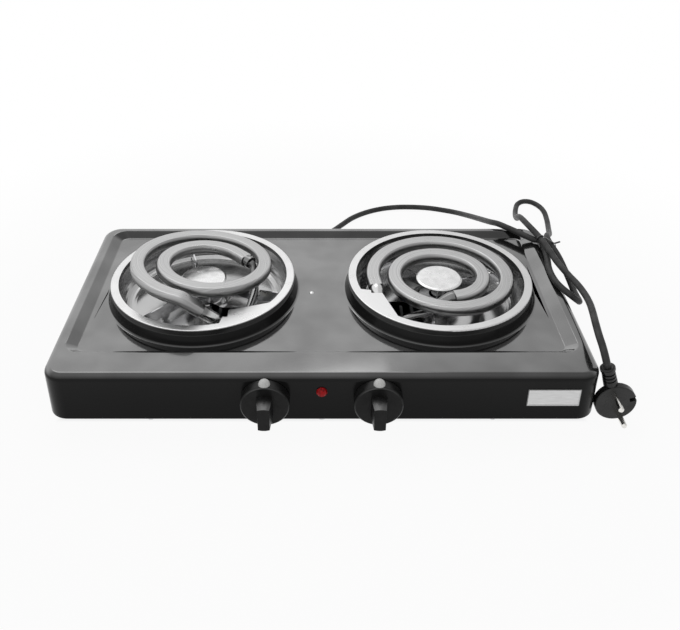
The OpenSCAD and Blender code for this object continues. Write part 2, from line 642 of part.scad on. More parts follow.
module knob(side) {
    flat = spindle_d / 2 - 1.4;
    color([0.03, 0.03, 0.03]) at_knob(side) difference() {
        union() {
            rotate_extrude() polygon([[0, knob_gap + dial_t - dial_wall], [boss_r, knob_gap + dial_t - dial_wall],
                [dial_r - dial_wall, knob_gap + dial_t - dial_wall], [dial_r - dial_wall, knob_gap],
                [dial_r, knob_gap], [dial_r, knob_gap + dial_t - 1.2], [dial_r - 1.2, knob_gap + dial_t],
                [0, knob_gap + dial_t]]);
            translate([0, 0, knob_gap + 0.4]) cylinder(r = boss_r, h = dial_t - 0.6);
            intersection() { // the grip bar, with arched ends
                translate([0, -grip_len / 2, knob_gap + dial_t - 0.8]) rotate([-90, 0, 0]) mirror([0, 1, 0])
                    linear_extrude(grip_len) grip_plan();
                translate([0, 0, knob_gap + dial_t - 1]) intersection() {
                    translate([0, 15 - grip_len / 2, 0]) cylinder(r = 15, h = grip_t + 2, $fn = 96);
                    translate([0, grip_len / 2 - 15, 0]) cylinder(r = 15, h = grip_t + 2, $fn = 96);
                }
            }
        }
        intersection() {
            cylinder(d = spindle_d + 0.1, h = dial_t + 5);
            translate([-spindle_d, -spindle_d, 0]) cube([2 * spindle_d, spindle_d + flat + 0.05, dial_t + 6]);
        }
        translate([0, dial_r - dial_wall - 1, knob_gap + dial_t / 2]) rotate([-90, 0, 0])
            cylinder(r = 1.25, h = dial_wall + 2);
    }
}
module thermostat_left() { thermostat(-1); }
module thermostat_right() { thermostat(1); }
module spindle_left() { spindle(-1); }
module spindle_right() { spindle(1); }
module knob_left() { knob(-1); }
module knob_right() { knob(1); }
module pointer_bead(side) { // a white dome on the dial's rim, with a peg through the rim
    color([0.85, 0.85, 0.84]) at_knob(side) {
        translate([0, dial_r - 0.6, knob_gap + dial_t / 2]) difference() {
            sphere(bead_r);
            translate([0, 0.6 - dial_r, 0]) cylinder(r = dial_r, h = 30, center = true);
        }
        translate([0, dial_r - dial_wall - 0.6, knob_gap + dial_t / 2]) rotate([-90, 0, 0])
            cylinder(r = 1.2, h = dial_wall + 1.6);
    }
}
module pointer_bead_left() { pointer_bead(-1); }
module pointer_bead_right() { pointer_bead(1); }
module lamp_lens() {
    color([0.7, 0.05, 0.05]) in_body() translate([0, front_y, z_low + lamp_up]) rotate([90, 0, 0]) {
        rotate_extrude() polygon([[0, 0], [lamp_r, 0], [lamp_r, 1], [lamp_r - 0.8, 2.2],
            [lamp_r - 2.2, 3.1], [0, 3.5]]);
        translate([0, 0, -sheet - 2]) cylinder(r = lamp_r - 1, h = sheet + 2 + eps);
    }
}
module lamp_holder() {
    color([0.85, 0.85, 0.83]) in_body() translate([0, front_y + sheet, z_low + lamp_up])
        rotate([-90, 0, 0]) difference() {
            union() {
                cylinder(r = lamp_r + 1.2, h = 1.2);
                cylinder(r = lamp_r, h = 18);
                for (x = [-2, 2]) translate([x - 0.4, -1.6, 18 - eps]) cube([0.8, 3.2, 6]);
            }
            translate([0, 0, -eps]) cylinder(r = lamp_r - 1 + fit, h = 2 + fit);
        }
}
module badge_plate() {
    color([0.75, 0.75, 0.74]) in_body()
        translate([body_w / 2 - badge_inset, front_y, z_low + body_h / 2 + 1.15]) rotate([90, 0, 0]) {
            linear_extrude(0.5) rounded(badge_w, badge_h, 0.8);
            linear_extrude(0.8) difference() {
                rounded(badge_w - 1.2, badge_h - 1.2, 0.6);
                rounded(badge_w - 2.4, badge_h - 2.4, 0.4);
            }
        }
}

// ---------- wiring inside ----------
module terminal_block() {
    color([0.9, 0.9, 0.86]) in_body() translate([exit_x, block_y, z_low]) difference() {
        union() {
            translate([-block[0] / 2, -block[1] / 2, 0]) cube(block);
            translate([-block_hole - 4, -5, 0]) cube([2 * block_hole + 8, 10, 3]);
        }
        for (x = [-1, 0, 1]) translate([x * pole, 0, block[2] / 2]) rotate([90, 0, 0])
            cylinder(r = 2.2, h = block[1] + 1, center = true);
        for (x = [-1, 0, 1]) translate([x * pole, 0, block[2] / 2]) cylinder(r = 1.8, h = block[2]);
        for (x = [-1, 1]) translate([x * block_hole, 0, -eps]) cylinder(r = 1.6, h = 4);
    }
}
module cord_clamp() {
    color([0.3, 0.3, 0.3]) in_body() translate([exit_x, clamp_y, z_exit]) difference() {
        translate([-13, -5, z_low - z_exit]) cube([26, 10, z_exit - z_low + cord_r + 3]);
        rotate([90, 0, 0]) cylinder(r = cord_r, h = 12, center = true);
        for (x = [-1, 1]) translate([x * clamp_hole, 0, cord_r + 3 - 10]) cylinder(r = 1.5, h = 11);
    }
}
module earth_screw() {
    color([0.75, 0.66, 0.42]) in_body() translate([earth_at[0], earth_at[1], z_base]) {
        pan_screw(4, 7.6, 1.9, 10);
        translate([0, 0, base_t]) cylinder(r = 4, h = 2.6, $fn = 6);
    }
}
wire_r = 1.3;
module wire(points) { sweep(curve(points, 3), ring_points(wire_r, 8)); }
// ends of the runs: thermostat tabs, terminal studs, the block and the cord's cores
thermo_tab = front_y + sheet + thermo_gap + thermo[1] + 8;
z_tab = z_knob - 11.6;
z_stud = z_post - 4;
stud_r = 2;
block_z = z_low + block[2] / 2;
block_front = block_y - block[1] / 2;
block_back = block_y + block[1] / 2;
pole = 11; // pitch of the block's terminals
core_end = sheath_end - 0.4; // where the cores show
knob_x = knob_pitch / 2;
right_studs = [[burner_pitch / 2 + post_outer, burner_back + post_y],
    [burner_pitch / 2 + post_inner, burner_back + post_y]];
left_studs = [[-burner_pitch / 2 - post_y, burner_back + post_outer],
    [-burner_pitch / 2 - post_y, burner_back + post_inner]];
module live_wires() {
    color([0.45, 0.28, 0.16]) in_body() {
        for (s = [-1, 1]) wire([[s * 2 - pole, block_front, block_z], [s * 2.4 - pole, block_front - 8, block_z],
            [s * 3 - pole, 30, z_low + 3], [s * 3 - pole, 0, z_low + 3], [s * 4 - pole, -30, z_low + 3],
            [s * 24 - 4, -62, z_low + 6],
            [s * (knob_x - 10), thermo_tab + 9, z_tab], [s * (knob_x - 10), thermo_tab, z_tab]]);
        wire([[-1.6, core_end, z_exit - 0.9], [-1.7, core_end - 2, z_exit - 1], [-2.9, core_end - 4, z_exit - 1.9],
            [-pole + 1, block_back + 5, block_z + 1], [-pole, block_back + 2, block_z], [-pole, block_back, block_z]]);
    }
}
module element_wires() {
    color([0.8, 0.78, 0.7]) in_body() {
        wire([[knob_x + 10, thermo_tab, z_tab], [knob_x + 10, thermo_tab + 8, z_tab],
            [right_studs[0][0] + 1, right_studs[0][1] - 22, z_stud], [right_studs[0][0], right_studs[0][1] - 8, z_stud],
            [right_studs[0][0], right_studs[0][1] - stud_r, z_stud]]);
        wire([[-knob_x - 10, thermo_tab, z_tab], [-knob_x - 10, thermo_tab + 6, z_tab],
            [-52, -66, z_stud], [left_studs[0][0] + 16, left_studs[0][1] - 4, z_stud],
            [left_studs[0][0] + 8, left_studs[0][1], z_stud], [left_studs[0][0] + stud_r, left_studs[0][1], z_stud]]);
    }
}
module neutral_wires() {
    color([0.2, 0.35, 0.65]) in_body() {
        wire([[2, block_front, block_z], [3, block_front - 8, block_z], [14, 40, z_low + 5],
            [50, 8, z_low + 5], [right_studs[1][0] - 2, 0, z_stud], [right_studs[1][0], right_studs[1][1] + 10, z_stud],
            [right_studs[1][0], right_studs[1][1] + stud_r, z_stud]]);
        wire([[-2, block_front, block_z], [-2.4, block_front - 8, block_z + 1], [-14, 44, z_low + 9],
            [-36, 4, z_low + 9], [-46, -26, z_stud], [left_studs[1][0] + 16, left_studs[1][1], z_stud],
            [left_studs[1][0] + stud_r, left_studs[1][1], z_stud]]);
        wire([[0, core_end, z_exit + 1.7], [0, core_end - 2, z_exit + 1.7], [0, core_end - 5, z_exit + 0.6],
            [0, block_back + 5, block_z + 3],
            [0, block_back + 2, block_z], [0, block_back, block_z]]);
    }
}
module earth_wires() {
    color([0.55, 0.65, 0.2]) in_body() {
        wire([[pole, block_front, block_z], [pole, block_front - 5, block_z], [pole + 8, block_front - 10, z_low + 5],
            [earth_at[0] - 6, block_front - 8, z_low + 5], [earth_at[0], earth_at[1] - 10, z_low + 5],
            [earth_at[0], earth_at[1] - stud_r, z_low + 5]]);
        wire([[1.6, core_end, z_exit - 0.9], [1.7, core_end - 2, z_exit - 1], [2.9, core_end - 4, z_exit - 1.9],
            [pole - 1, block_back + 5, block_z + 1], [pole, block_back + 2, block_z], [pole, block_back, block_z]]);
    }
}
module inside_screws() { // two for the terminal block and two for the cord clamp
    color([0.7, 0.7, 0.72]) in_body() {
        for (x = [-1, 1]) translate([exit_x + x * block_hole, block_y, z_low + 3]) rotate([180, 0, 0])
            pan_screw(2.9, 6, 1.8, 3 + base_t + 1);
        for (x = [-1, 1]) translate([exit_x + x * clamp_hole, clamp_y, z_exit + cord_r + 3]) rotate([180, 0, 0])
            pan_screw(2.9, 6, 1.8, 9);
    }
}

// ---------- supply cord ----------
module cord_gland() {
    color([0.05, 0.05, 0.05]) in_body() translate([exit_x, back_y, z_exit]) rotate([-90, 0, 0]) difference() {
        rotate_extrude() polygon([[cord_r, -sheet - 3], [7.5, -sheet - 3], [7.5, -sheet], [cord_r + 2.2, -sheet],
            [cord_r + 2.2, 0], [8.6, 0], [8.6, 2.5], [6.8, 3.5], [cord_r + 2.6, 6],
            [cord_r + 1.3, gland_len], [cord_r, gland_len]]);
        for (i = [0 : 3]) translate([0, 0, 9 + i * 4]) difference() {
            cylinder(r = 9, h = 1.6);
            translate([0, 0, -eps]) cylinder(r = cord_r + 1.2, h = 2);
        }
    }
}
function at_neck(along_neck) = plug_at
    + [-sin(plug_lean) * along_neck, plug_neck_y, cos(plug_lean) * along_neck];
// the route runs behind the body, is folded once and tied on the rim, and comes forward to the plug
cord_route = concat(
    [[exit_x, sheath_end, z_exit], [exit_x, back_y, z_exit], [exit_x, y_gland, z_exit]],
    [[1, 168, 21.5], [6, 186, 11.5], [15, 205, 4.8], [26, 222, 3.4], [40, 240, 3.3], [57, 254, 3.3],
    [77, 264, 3.3], [98, 269, 3.3], [119, 269.5, 3.3], [140, 267, 3.3], [158.8, 260.6, 3.6], [172, 249.6, 6.5],
    [181.5, 229.4, 14], [187.2, 199.3, 27], [190.2, 166.3, 42], [192.8, 140, 54], [198, 126.6, 59.3],
    [206, 118.5, 59.3], [214, 110, 59.3], [222, 100.7, 59.3], [229.4, 92.5, 59.4], [236.8, 87, 59.5], [236.2, 60, 59], [232.5, 36, 58.5], [232.5, 16, 58.5], [236, 1, 58.4],
    [243.5, -9, 55.8], [251, -8.5, 49.5], [255.5, 1, 43], [256.5, 20, 40.5], [255.5, 42, 44.5],
    [251, 66, 53.5], [246, 87, 58.4], [248, 105, 56], [258, 132, 42], [271, 168, 22], [281, 204, 8],
    [287, 233, 3.6], [289, 256, 3.3], [286, 272, 3.3], [278, 283.5, 3.3], [268, 285, 3.3], [259, 277, 3.3],
    [253, 261, 3.6], [248, 240, 7], [242.5, 214, 18], [235.5, 185, 34], [228.5, 158, 51], [225.5, 135, 62],
    [228, 110, 66.1], [233.5, 87, 66.1], [237.5, 62, 65.8], [240, 38, 65.5], [245, 13, 65.5], [249, -5, 66],
    [250.5, -23, 67.3], [249.5, -41, 69.6], [246.5, -59, 72.4], [243, -78, 74.4], [241.2, -95, 73.2],
    [241.8, -106, 69]],
    [at_neck(plug_neck + 8), at_neck(plug_neck)]);
module supply_cord() {
    color([0.05, 0.05, 0.05]) in_body() sweep(cord_route, ring_points(cord_r, 10));
}
tie_y = 82;
tie_strands = [[234.3, 66], [236.7, 59.42], [247.2, 57.25]]; // where the three strands pass the tie
module cord_tie() {
    slack = 0.6; // the strands pass a little aslant
    tie_t = 0.5;
    color([0.03, 0.03, 0.03]) in_body() translate([0, tie_y, 0]) rotate([90, 0, 0]) {
        linear_extrude(2.4, center = true) difference() {
            hull() for (p = tie_strands) translate(p) circle(cord_r + slack + tie_t, $fn = 32);
            hull() for (p = tie_strands) translate(p) circle(cord_r + slack, $fn = 32);
        }
        translate([250.1, 60.05, 0]) rotate([0, 0, 20]) linear_extrude(1.6, center = true) square([6, 1]);
    }
}
module at_plug() { // +Z runs up the plug's neck, and -Y out of the face that holds the pins
    in_body() translate(plug_at) rotate([0, -plug_lean, 0]) children();
}
module plug_body() {
    color([0.04, 0.04, 0.04]) at_plug() difference() {
        union() {
            rotate([-90, 0, 0]) rotate_extrude() polygon(concat([[0, 0], [plug_r - 0.6, 0], [plug_r, 0.6],
                [plug_r, 6.5], [plug_r - 1.2, 8]], arc([0, -4], plug_r + 1, 42, 90)));
            translate([0, plug_neck_y, 8]) cylinder(r1 = 6.6, r2 = 5.7, h = plug_neck - 10);
            translate([0, plug_neck_y, plug_neck - 3]) cylinder(r = 6.6, h = 2.2);
            translate([0, plug_neck_y, plug_neck - 0.8 - eps]) cylinder(r1 = 5.8, r2 = 4.6, h = 0.8 + eps);
        }
        for (i = [0 : 2]) translate([0, plug_neck_y, plug_neck - 14 + i * 3.6]) difference() {
            cylinder(r = 9, h = 1.4);
            translate([0, 0, -eps]) cylinder(r = 4.9, h = 2);
        }
        translate([plug_r - 6, -eps, -2]) cube([8, 5, 4]);
    }
}
module plug_pins() {
    color([0.85, 0.84, 0.8]) at_plug() for (s = [-1, 1]) translate([0, 0, s * pin_pitch / 2])
        rotate([90, 0, 0]) {
            cylinder(d = pin_d, h = pin_len - 1);
            translate([0, 0, pin_len - 1 - eps]) cylinder(d1 = pin_d, d2 = pin_d - 1.4, h = 1 + eps);
        }
}

top_cover();
base_plate();
base_screws();
rubber_feet();
foot_screws();
drip_bowl_left();
drip_bowl_right();
trim_ring_left();
trim_ring_right();
spider_left();
spider_right();
centre_disc_left();
centre_disc_right();
heating_coil_left();
heating_coil_right();
cold_ends_left();
cold_ends_right();
ceramic_bushes_left();
ceramic_bushes_right();
coil_bracket_left();
coil_bracket_right();
thermostat_left();
thermostat_right();
spindle_left();
spindle_right();
thermostat_screws();
knob_left();
knob_right();
pointer_bead_left();
pointer_bead_right();
lamp_lens();
lamp_holder();
badge_plate();
deck_rivet();
terminal_block();
cord_clamp();
inside_screws();
earth_screw();
live_wires();
element_wires();
neutral_wires();
earth_wires();
cord_gland();
supply_cord();
cord_tie();
plug_body();
plug_pins();
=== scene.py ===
import math

import bmesh
import bpy
from mathutils import Matrix, Vector
from mathutils.geometry import delaunay_2d_cdt


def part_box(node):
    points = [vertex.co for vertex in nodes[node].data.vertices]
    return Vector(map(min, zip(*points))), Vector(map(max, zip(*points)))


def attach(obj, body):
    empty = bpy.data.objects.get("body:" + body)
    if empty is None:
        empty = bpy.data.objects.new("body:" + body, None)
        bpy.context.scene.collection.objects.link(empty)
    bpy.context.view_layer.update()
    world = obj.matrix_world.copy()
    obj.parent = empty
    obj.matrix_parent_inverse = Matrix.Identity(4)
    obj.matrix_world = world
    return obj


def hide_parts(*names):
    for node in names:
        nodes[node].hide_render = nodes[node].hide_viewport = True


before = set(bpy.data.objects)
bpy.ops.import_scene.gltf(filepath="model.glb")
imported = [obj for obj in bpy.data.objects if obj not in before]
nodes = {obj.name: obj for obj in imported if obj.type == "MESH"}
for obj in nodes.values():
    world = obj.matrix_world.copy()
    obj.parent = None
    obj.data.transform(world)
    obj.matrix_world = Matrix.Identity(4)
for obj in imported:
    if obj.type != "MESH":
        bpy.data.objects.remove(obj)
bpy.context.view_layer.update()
scene = bpy.context.scene

# ---------- camera ----------
# The hot plate is seen from half a metre in front of its knobs and half a metre above the table.
# The lens is a little longer than normal, and shifted so that the object is in the middle.
CAMERA_PLACE = (-0.00226, -0.64346, 0.50374)  # metres
LOOKS_DOWN = 28.35  # degrees
FILM_WIDTH, LENS = 36, 42.56  # millimetres
SHIFT_ACROSS, SHIFT_UP = 0.0307, -0.1592  # shares of the picture's width

camera_data = bpy.data.cameras.new("camera")
camera_data.sensor_width = FILM_WIDTH
camera_data.lens = LENS
camera_data.shift_x = SHIFT_ACROSS
camera_data.shift_y = SHIFT_UP
camera = bpy.data.objects.new("camera", camera_data)
camera.location = CAMERA_PLACE
camera.rotation_euler = (math.radians(90 - LOOKS_DOWN), 0, 0)
scene.collection.objects.link(camera)
scene.camera = camera

# ---------- supply cord ----------
# A black two-core mains lead with its plug moulded on. It comes out of the back, climbs on to the
# right rim, is folded there, runs back past the corner as a loop, and comes forward to the plug.
MM = 0.001  # sizes are in millimetres, Blender's lengths in metres
CORD_D = 6.5
BODY_Y = 13.5  # the body's middle lies this far behind the frame's origin
PLUG_FACE = Vector((257.6, -106, 18))  # the middle of the plug's round face
PLUG_LEAN = math.radians(17.8)
NECK_BEHIND = 7  # the neck's axis, behind the plug's face
NECK_TOP, CORD_IN_NECK = 45, 37  # heights over the face's middle, along the lean
ROUTE_STEPS, ROUNDNESS = 6, 7  # how finely the route and its round section are drawn

# the route's points from the body's middle: right, back, and up from the table
behind = [(0, 101, 24), (0, 127.5, 24), (0, 153.5, 24), (1, 168, 21.5), (6, 186, 11.5),
    (15, 205, 4.8), (26, 222, 3.4), (40, 240, 3.3), (57, 254, 3.3), (77, 264, 3.3), (98, 269, 3.3),
    (119, 269.5, 3.3), (140, 267, 3.3), (158.8, 260.6, 3.6), (172, 249.6, 6.5), (181.5, 229.4, 14),
    (187.2, 199.3, 27), (190.2, 166.3, 42), (192.8, 140, 54)]
on_the_rim = [(198, 126.6, 59.3), (206, 118.5, 59.3), (214, 110, 59.3), (222, 100.7, 59.3),
    (229.4, 92.5, 59.4), (236.8, 87, 59.5), (236.2, 60, 59), (232.5, 36, 58.5), (232.5, 16, 58.5),
    (236, 1, 58.4)]
fold_and_back = [(243.5, -9, 55.8), (251, -8.5, 49.5), (255.5, 1, 43), (256.5, 20, 40.5),
    (255.5, 42, 44.5), (251, 66, 53.5), (246, 87, 58.4), (248, 105, 56), (258, 132, 42),
    (271, 168, 22), (281, 204, 8), (287, 233, 3.6), (289, 256, 3.3), (286, 272, 3.3),
    (278, 283.5, 3.3), (268, 285, 3.3), (259, 277, 3.3), (253, 261, 3.6), (248, 240, 7),
    (242.5, 214, 18), (235.5, 185, 34), (228.5, 158, 51), (225.5, 135, 62)]
to_the_plug = [(228, 110, 66.1), (233.5, 87, 66.1), (237.5, 62, 65.8), (240, 38, 65.5),
    (245, 13, 65.5), (249, -5, 66), (250.5, -23, 67.3), (249.5, -41, 69.6), (246.5, -59, 72.4),
    (243, -78, 74.4), (241.2, -95, 73.2), (241.8, -106, 69)]


def at_neck(up):
    """A point on the axis of the plug's neck."""
    return PLUG_FACE + Vector((-math.sin(PLUG_LEAN) * up, NECK_BEHIND, math.cos(PLUG_LEAN) * up))


route = behind + on_the_rim + fold_and_back + to_the_plug
route = [Vector((x, y + BODY_Y, z)) for x, y, z in route]
route += [at_neck(NECK_TOP), at_neck(CORD_IN_NECK)]


def smooth_path(points, steps):
    """The points joined by a smooth curve that passes through each of them."""
    ends = [points[0]] + list(points) + [points[-1]]
    path = []
    for a, b, c, d in zip(ends, ends[1:], ends[2:], ends[3:]):
        for k in range(steps):
            t = k / steps
            path.append(0.5 * (2 * b + t * (c - a) + t * t * (2 * a - 5 * b + 4 * c - d)
                + t**3 * (3 * b - a - 3 * c + d)))
    return path + [Vector(points[-1])]


def curve_object(name, path):
    """A curve of straight pieces along a path given in millimetres."""
    data = bpy.data.curves.new(name, "CURVE")
    data.dimensions = "3D"
    spline = data.splines.new("POLY")
    spline.points.add(len(path) - 1)
    for point, place in zip(spline.points, path):
        point.co = (*(Vector(place) * MM), 1)
    thing = bpy.data.objects.new(name, data)
    scene.collection.objects.link(thing)
    return thing


def grey(level):
    """A colour without a tint."""
    return (level, level, level)


def shader(made):
    return made.node_tree.nodes["Principled BSDF"]


def surface(name, colour, rough, metal=0.0, **more):
    """A material of one plain finish, to which patterns are added."""
    made = bpy.data.materials.new(name)
    made.use_nodes = True
    made.diffuse_color = (*colour, 1)
    finish = shader(made).inputs
    finish["Base Color"].default_value = (*colour, 1)
    finish["Roughness"].default_value = rough
    finish["Metallic"].default_value = metal
    for key, value in more.items():
        finish[key.replace("_", " ")].default_value = value
    return made


def add(made, kind, **settings):
    """A new node, with its inputs or its own settings given by name."""
    node = made.node_tree.nodes.new(kind)
    for key, value in settings.items():
        if key in node.inputs:
            node.inputs[key].default_value = value
        else:
            setattr(node, key, value)
    return node


def wire(made, start, end):
    made.node_tree.links.new(start, end)


def place_on(made):
    """The place on the piece, in metres."""
    return add(made, "ShaderNodeTexCoord").outputs["Object"]


def grain(made, scale, stretch=(1, 1, 1), detail=3.0):
    """Noise of that many grains to the metre."""
    mapping = add(made, "ShaderNodeMapping", Scale=stretch)
    noise = add(made, "ShaderNodeTexNoise", Scale=scale, Detail=detail)
    wire(made, place_on(made), mapping.inputs["Vector"])
    wire(made, mapping.outputs["Vector"], noise.inputs["Vector"])
    return noise.outputs["Fac"]


def spread(made, value, low, high, start=0.35, stop=0.65):
    """What runs from start to stop, taken to run from low to high."""
    node = add(made, "ShaderNodeMapRange")
    for key, number in (("From Min", start), ("From Max", stop), ("To Min", low), ("To Max", high)):
        node.inputs[key].default_value = number
    wire(made, value, node.inputs["Value"])
    return node.outputs["Result"]


A_COLOUR, B_COLOUR, MIXED_COLOUR = 6, 7, 2  # the colour sockets of a Mix node


def shade(made, share, low, high):
    """The finish's colour goes from low to high; each is a colour or the output of a pattern."""
    mix = add(made, "ShaderNodeMix", data_type="RGBA")
    wire(made, share, mix.inputs["Factor"])
    for socket, colour in ((A_COLOUR, low), (B_COLOUR, high)):
        if isinstance(colour, tuple):
            mix.inputs[socket].default_value = (*colour, 1)
        else:
            wire(made, colour, mix.inputs[socket])
    wire(made, mix.outputs[MIXED_COLOUR], shader(made).inputs["Base Color"])
    return mix.outputs[MIXED_COLOUR]


def mottled(made, scale, dark, light, detail=3.0):
    """Soft patches of two colours, that many to the metre."""
    shade(made, spread(made, grain(made, scale, detail=detail), 0, 1), dark, light)


def uneven(made, value, height):
    """Bump of that height in metres."""
    bump = add(made, "ShaderNodeBump", Distance=height, Strength=1.0)
    wire(made, value, bump.inputs["Height"])
    wire(made, bump.outputs["Normal"], shader(made).inputs["Normal"])


def shine(made, value, smooth, rough):
    """Roughness that goes from smooth to rough with a pattern."""
    wire(made, spread(made, value, smooth, rough), shader(made).inputs["Roughness"])


cord_black = surface("cord_black", grey(0.04), 0.48, Specular_IOR_Level=0.22)
mottled(cord_black, 90, grey(0.032), grey(0.056))
shine(cord_black, grain(cord_black, 260), 0.42, 0.56)
uneven(cord_black, grain(cord_black, 1800), 0.00004)

lead = curve_object("mains_lead", smooth_path(route, ROUTE_STEPS))
lead.data.bevel_depth = CORD_D / 2 * MM
lead.data.bevel_resolution = ROUNDNESS
lead.data.use_fill_caps = True
lead.data.materials.append(cord_black)
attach(lead, "body")
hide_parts("supply_cord")

# ---------- plug, gland and tie ----------
# The plug is one rubbery black moulding with a ribbed neck and two nickel-plated pins, and the
# gland behind the body is moulded from the same stuff. The tie is a plastic-coated wire.


def painted(piece, made):
    piece.data.materials.clear()
    piece.data.materials.append(made)


def coat(made, *names):
    """Puts a finish on pieces that keep the shape of their solid."""
    for name in names:
        painted(nodes[name], made)


plug_black = surface("plug_black", grey(0.014), 0.3, Specular_IOR_Level=0.35)
mottled(plug_black, 120, grey(0.009), grey(0.022))
shine(plug_black, grain(plug_black, 400), 0.22, 0.4)
uneven(plug_black, grain(plug_black, 2600), 0.00003)
coat(plug_black, "plug_body", "cord_gland")

tie_black = surface("tie_black", grey(0.01), 0.3)
uneven(tie_black, grain(tie_black, 1500), 0.00005)
coat(tie_black, "cord_tie")

pin_nickel = surface("pin_nickel", (0.8, 0.79, 0.76), 0.16, metal=1.0)
shine(pin_nickel, grain(pin_nickel, 700, stretch=(1, 0.08, 1)), 0.1, 0.3)
coat(pin_nickel, "plug_pins")

# ---------- top cover ----------
# One pressed steel sheet, 1 mm thick: a box without a floor, with a sunken deck and a raised
# collar round each burner. It is dipped and fired with black enamel, as glossy as glass.
BODY_W, BODY_D, CORNER_R, SHEET = 480, 255, 18, 1.0
Z_LOW, Z_RIM, Z_DECK = 7, 55, 49
FLANGE, FOOT_R, EDGE_R = 10, 1.4, 6.5  # the turned-in foot, its bend, and the rolled top edge
FOOT_TURNS = (0.4, 0.8, 1.2, math.pi / 2)  # radians along the foot's bend
CORNER_STEPS, EDGE_STEPS = 10, 10
# half the width, front, back and corner radius of the recess, from the body's middle
RECESS_TOP = (229, -95, 118, 14)
RECESS_FLOOR = (219.5, -86.5, 112, 8)
SLOPE_STOPS = (-0.1, -0.05, 0, 0.05, 0.1, 0.3, 0.5, 0.7, 0.9, 0.95, 1, 1.05, 1.1)
SLOPE_EASE = 0.1  # the share of the slope over which it bends at each end
# radius and height over the deck, from the foot of a collar to its opening
COLLAR = [(95.4, 0), (94.7, 0.05), (94, 0.25), (93.4, 0.7), (92.9, 1.4), (92.4, 2.8), (90.2, 8.6),
    (89.8, 9.5), (89.2, 10.15), (88.4, 10.45), (87.6, 10.5), (86, 10.5)]
COLLAR_SIDES, COLLAR_REACH = 144, 0.1  # the deck is filled up to that close to a collar's foot
SHARP_BEND = 50  # degrees, past which a bend shows as an edge
BURNER_X, BURNER_BACK = 117, 13  # from the body's middle
BURNERS = {"left": (-BURNER_X, BURNER_BACK + BODY_Y), "right": (BURNER_X, BURNER_BACK + BODY_Y)}


def along(made, vector, axis):
    """One axis of a place or a direction."""
    parts = add(made, "ShaderNodeSeparateXYZ")
    wire(made, vector, parts.inputs[0])
    return parts.outputs[axis]


def facing_up(made):
    """1 where a face looks straight up and 0 on an upright wall."""
    return along(made, add(made, "ShaderNodeNewGeometry").outputs["Normal"], "Z")


def worked_out(made, operation, first, second):
    """Two patterns multiplied, or the greater of them, as the operation says."""
    node = add(made, "ShaderNodeMath", operation=operation)
    wire(made, first, node.inputs[0])
    wire(made, second, node.inputs[1])
    return node.outputs[0]


enamel = surface("black_enamel", grey(0.006), 0.14, Specular_IOR_Level=0.11, Coat_Roughness=0.085,
    Coat_IOR=3.2)
# painted shade: the colour darkens towards the bottom of the walls, standing in for the shadow on the
# worktop that they mirror, so the deck is a little greyer than down the walls
painted_shade_by_height = spread(enamel, along(enamel, place_on(enamel), "Z"), 0, 1, start=0.006, stop=0.05)
patches = spread(enamel, grain(enamel, 9, detail=4.0), 0.8, 1)
shade(enamel, worked_out(enamel, "MULTIPLY", painted_shade_by_height, patches), grey(0.0015), grey(0.013))
shine(enamel, grain(enamel, 14, detail=5.0), 0.12, 0.22)
uneven(enamel, grain(enamel, 420, detail=2.0), 0.00001)
# the fired glaze mirrors little when faced and a great deal at a slant,
# and it lies thicker on what was level in the kiln than on the upright walls
slant = add(enamel, "ShaderNodeLayerWeight", Blend=0.5)
glaze = spread(enamel, slant.outputs["Facing"], 0.3, 1.0, start=0.24, stop=0.4)
level_part = spread(enamel, facing_up(enamel), 0.0, 1.0, start=0.45, stop=0.85)
patchy = spread(enamel, grain(enamel, 22, detail=2.0), 0.78, 1.0)
for part in (level_part, patchy):
    glaze = worked_out(enamel, "MULTIPLY", glaze, part)
wire(enamel, glaze, shader(enamel).inputs["Coat Weight"])


def rounded_loop(half, front, back, radius):
    """A rounded rectangle, anticlockwise from its right side, from the body's middle."""
    loop = []
    for quarter, (x, y) in enumerate([(half, back), (-half, back), (-half, front), (half, front)]):
        cx = x - math.copysign(radius, x)
        cy = y - radius if y == back else y + radius
        for k in range(CORNER_STEPS + 1):
            a = math.radians(90 * quarter + 90 * k / CORNER_STEPS)
            loop.append((cx + radius * math.cos(a), cy + radius * math.sin(a)))
    return loop


def inset_loop(inset, z):
    """The body's outline, drawn in by that much."""
    front, back = -BODY_D / 2 + inset, BODY_D / 2 - inset
    loop = rounded_loop(BODY_W / 2 - inset, front, back, CORNER_R - inset)
    return [(x, y + BODY_Y, z) for x, y in loop]


def slope_ring(part):
    """A ring on the slope from the rim, 0, to the deck, 1, eased where it starts and ends."""
    if part < SLOPE_EASE:
        fallen = (part + SLOPE_EASE) ** 2 / (4 * SLOPE_EASE)
    elif part > 1 - SLOPE_EASE:
        fallen = 1 - (1 + SLOPE_EASE - part) ** 2 / (4 * SLOPE_EASE)
    else:
        fallen = part
    z = Z_RIM - (Z_RIM - Z_DECK) * fallen
    ends = zip(rounded_loop(*RECESS_TOP), rounded_loop(*RECESS_FLOOR))
    return [(xa + (xb - xa) * part, ya + (yb - ya) * part + BODY_Y, z) for (xa, ya), (xb, yb) in ends]


# the sheet's outer face, ring by ring: flange, foot bend and wall, rolled edge and rim, slope
rings = [inset_loop(FLANGE, Z_LOW), inset_loop(FOOT_R, Z_LOW)]
for a in FOOT_TURNS:
    rings.append(inset_loop(FOOT_R - FOOT_R * math.sin(a), Z_LOW + FOOT_R - FOOT_R * math.cos(a)))
for a in (math.radians(90 / EDGE_STEPS * k) for k in range(EDGE_STEPS + 1)):
    rings.append(inset_loop(EDGE_R * (1 - math.cos(a)), Z_RIM - EDGE_R * (1 - math.sin(a))))
rings += [slope_ring(part) for part in SLOPE_STOPS]
skin = bmesh.new()


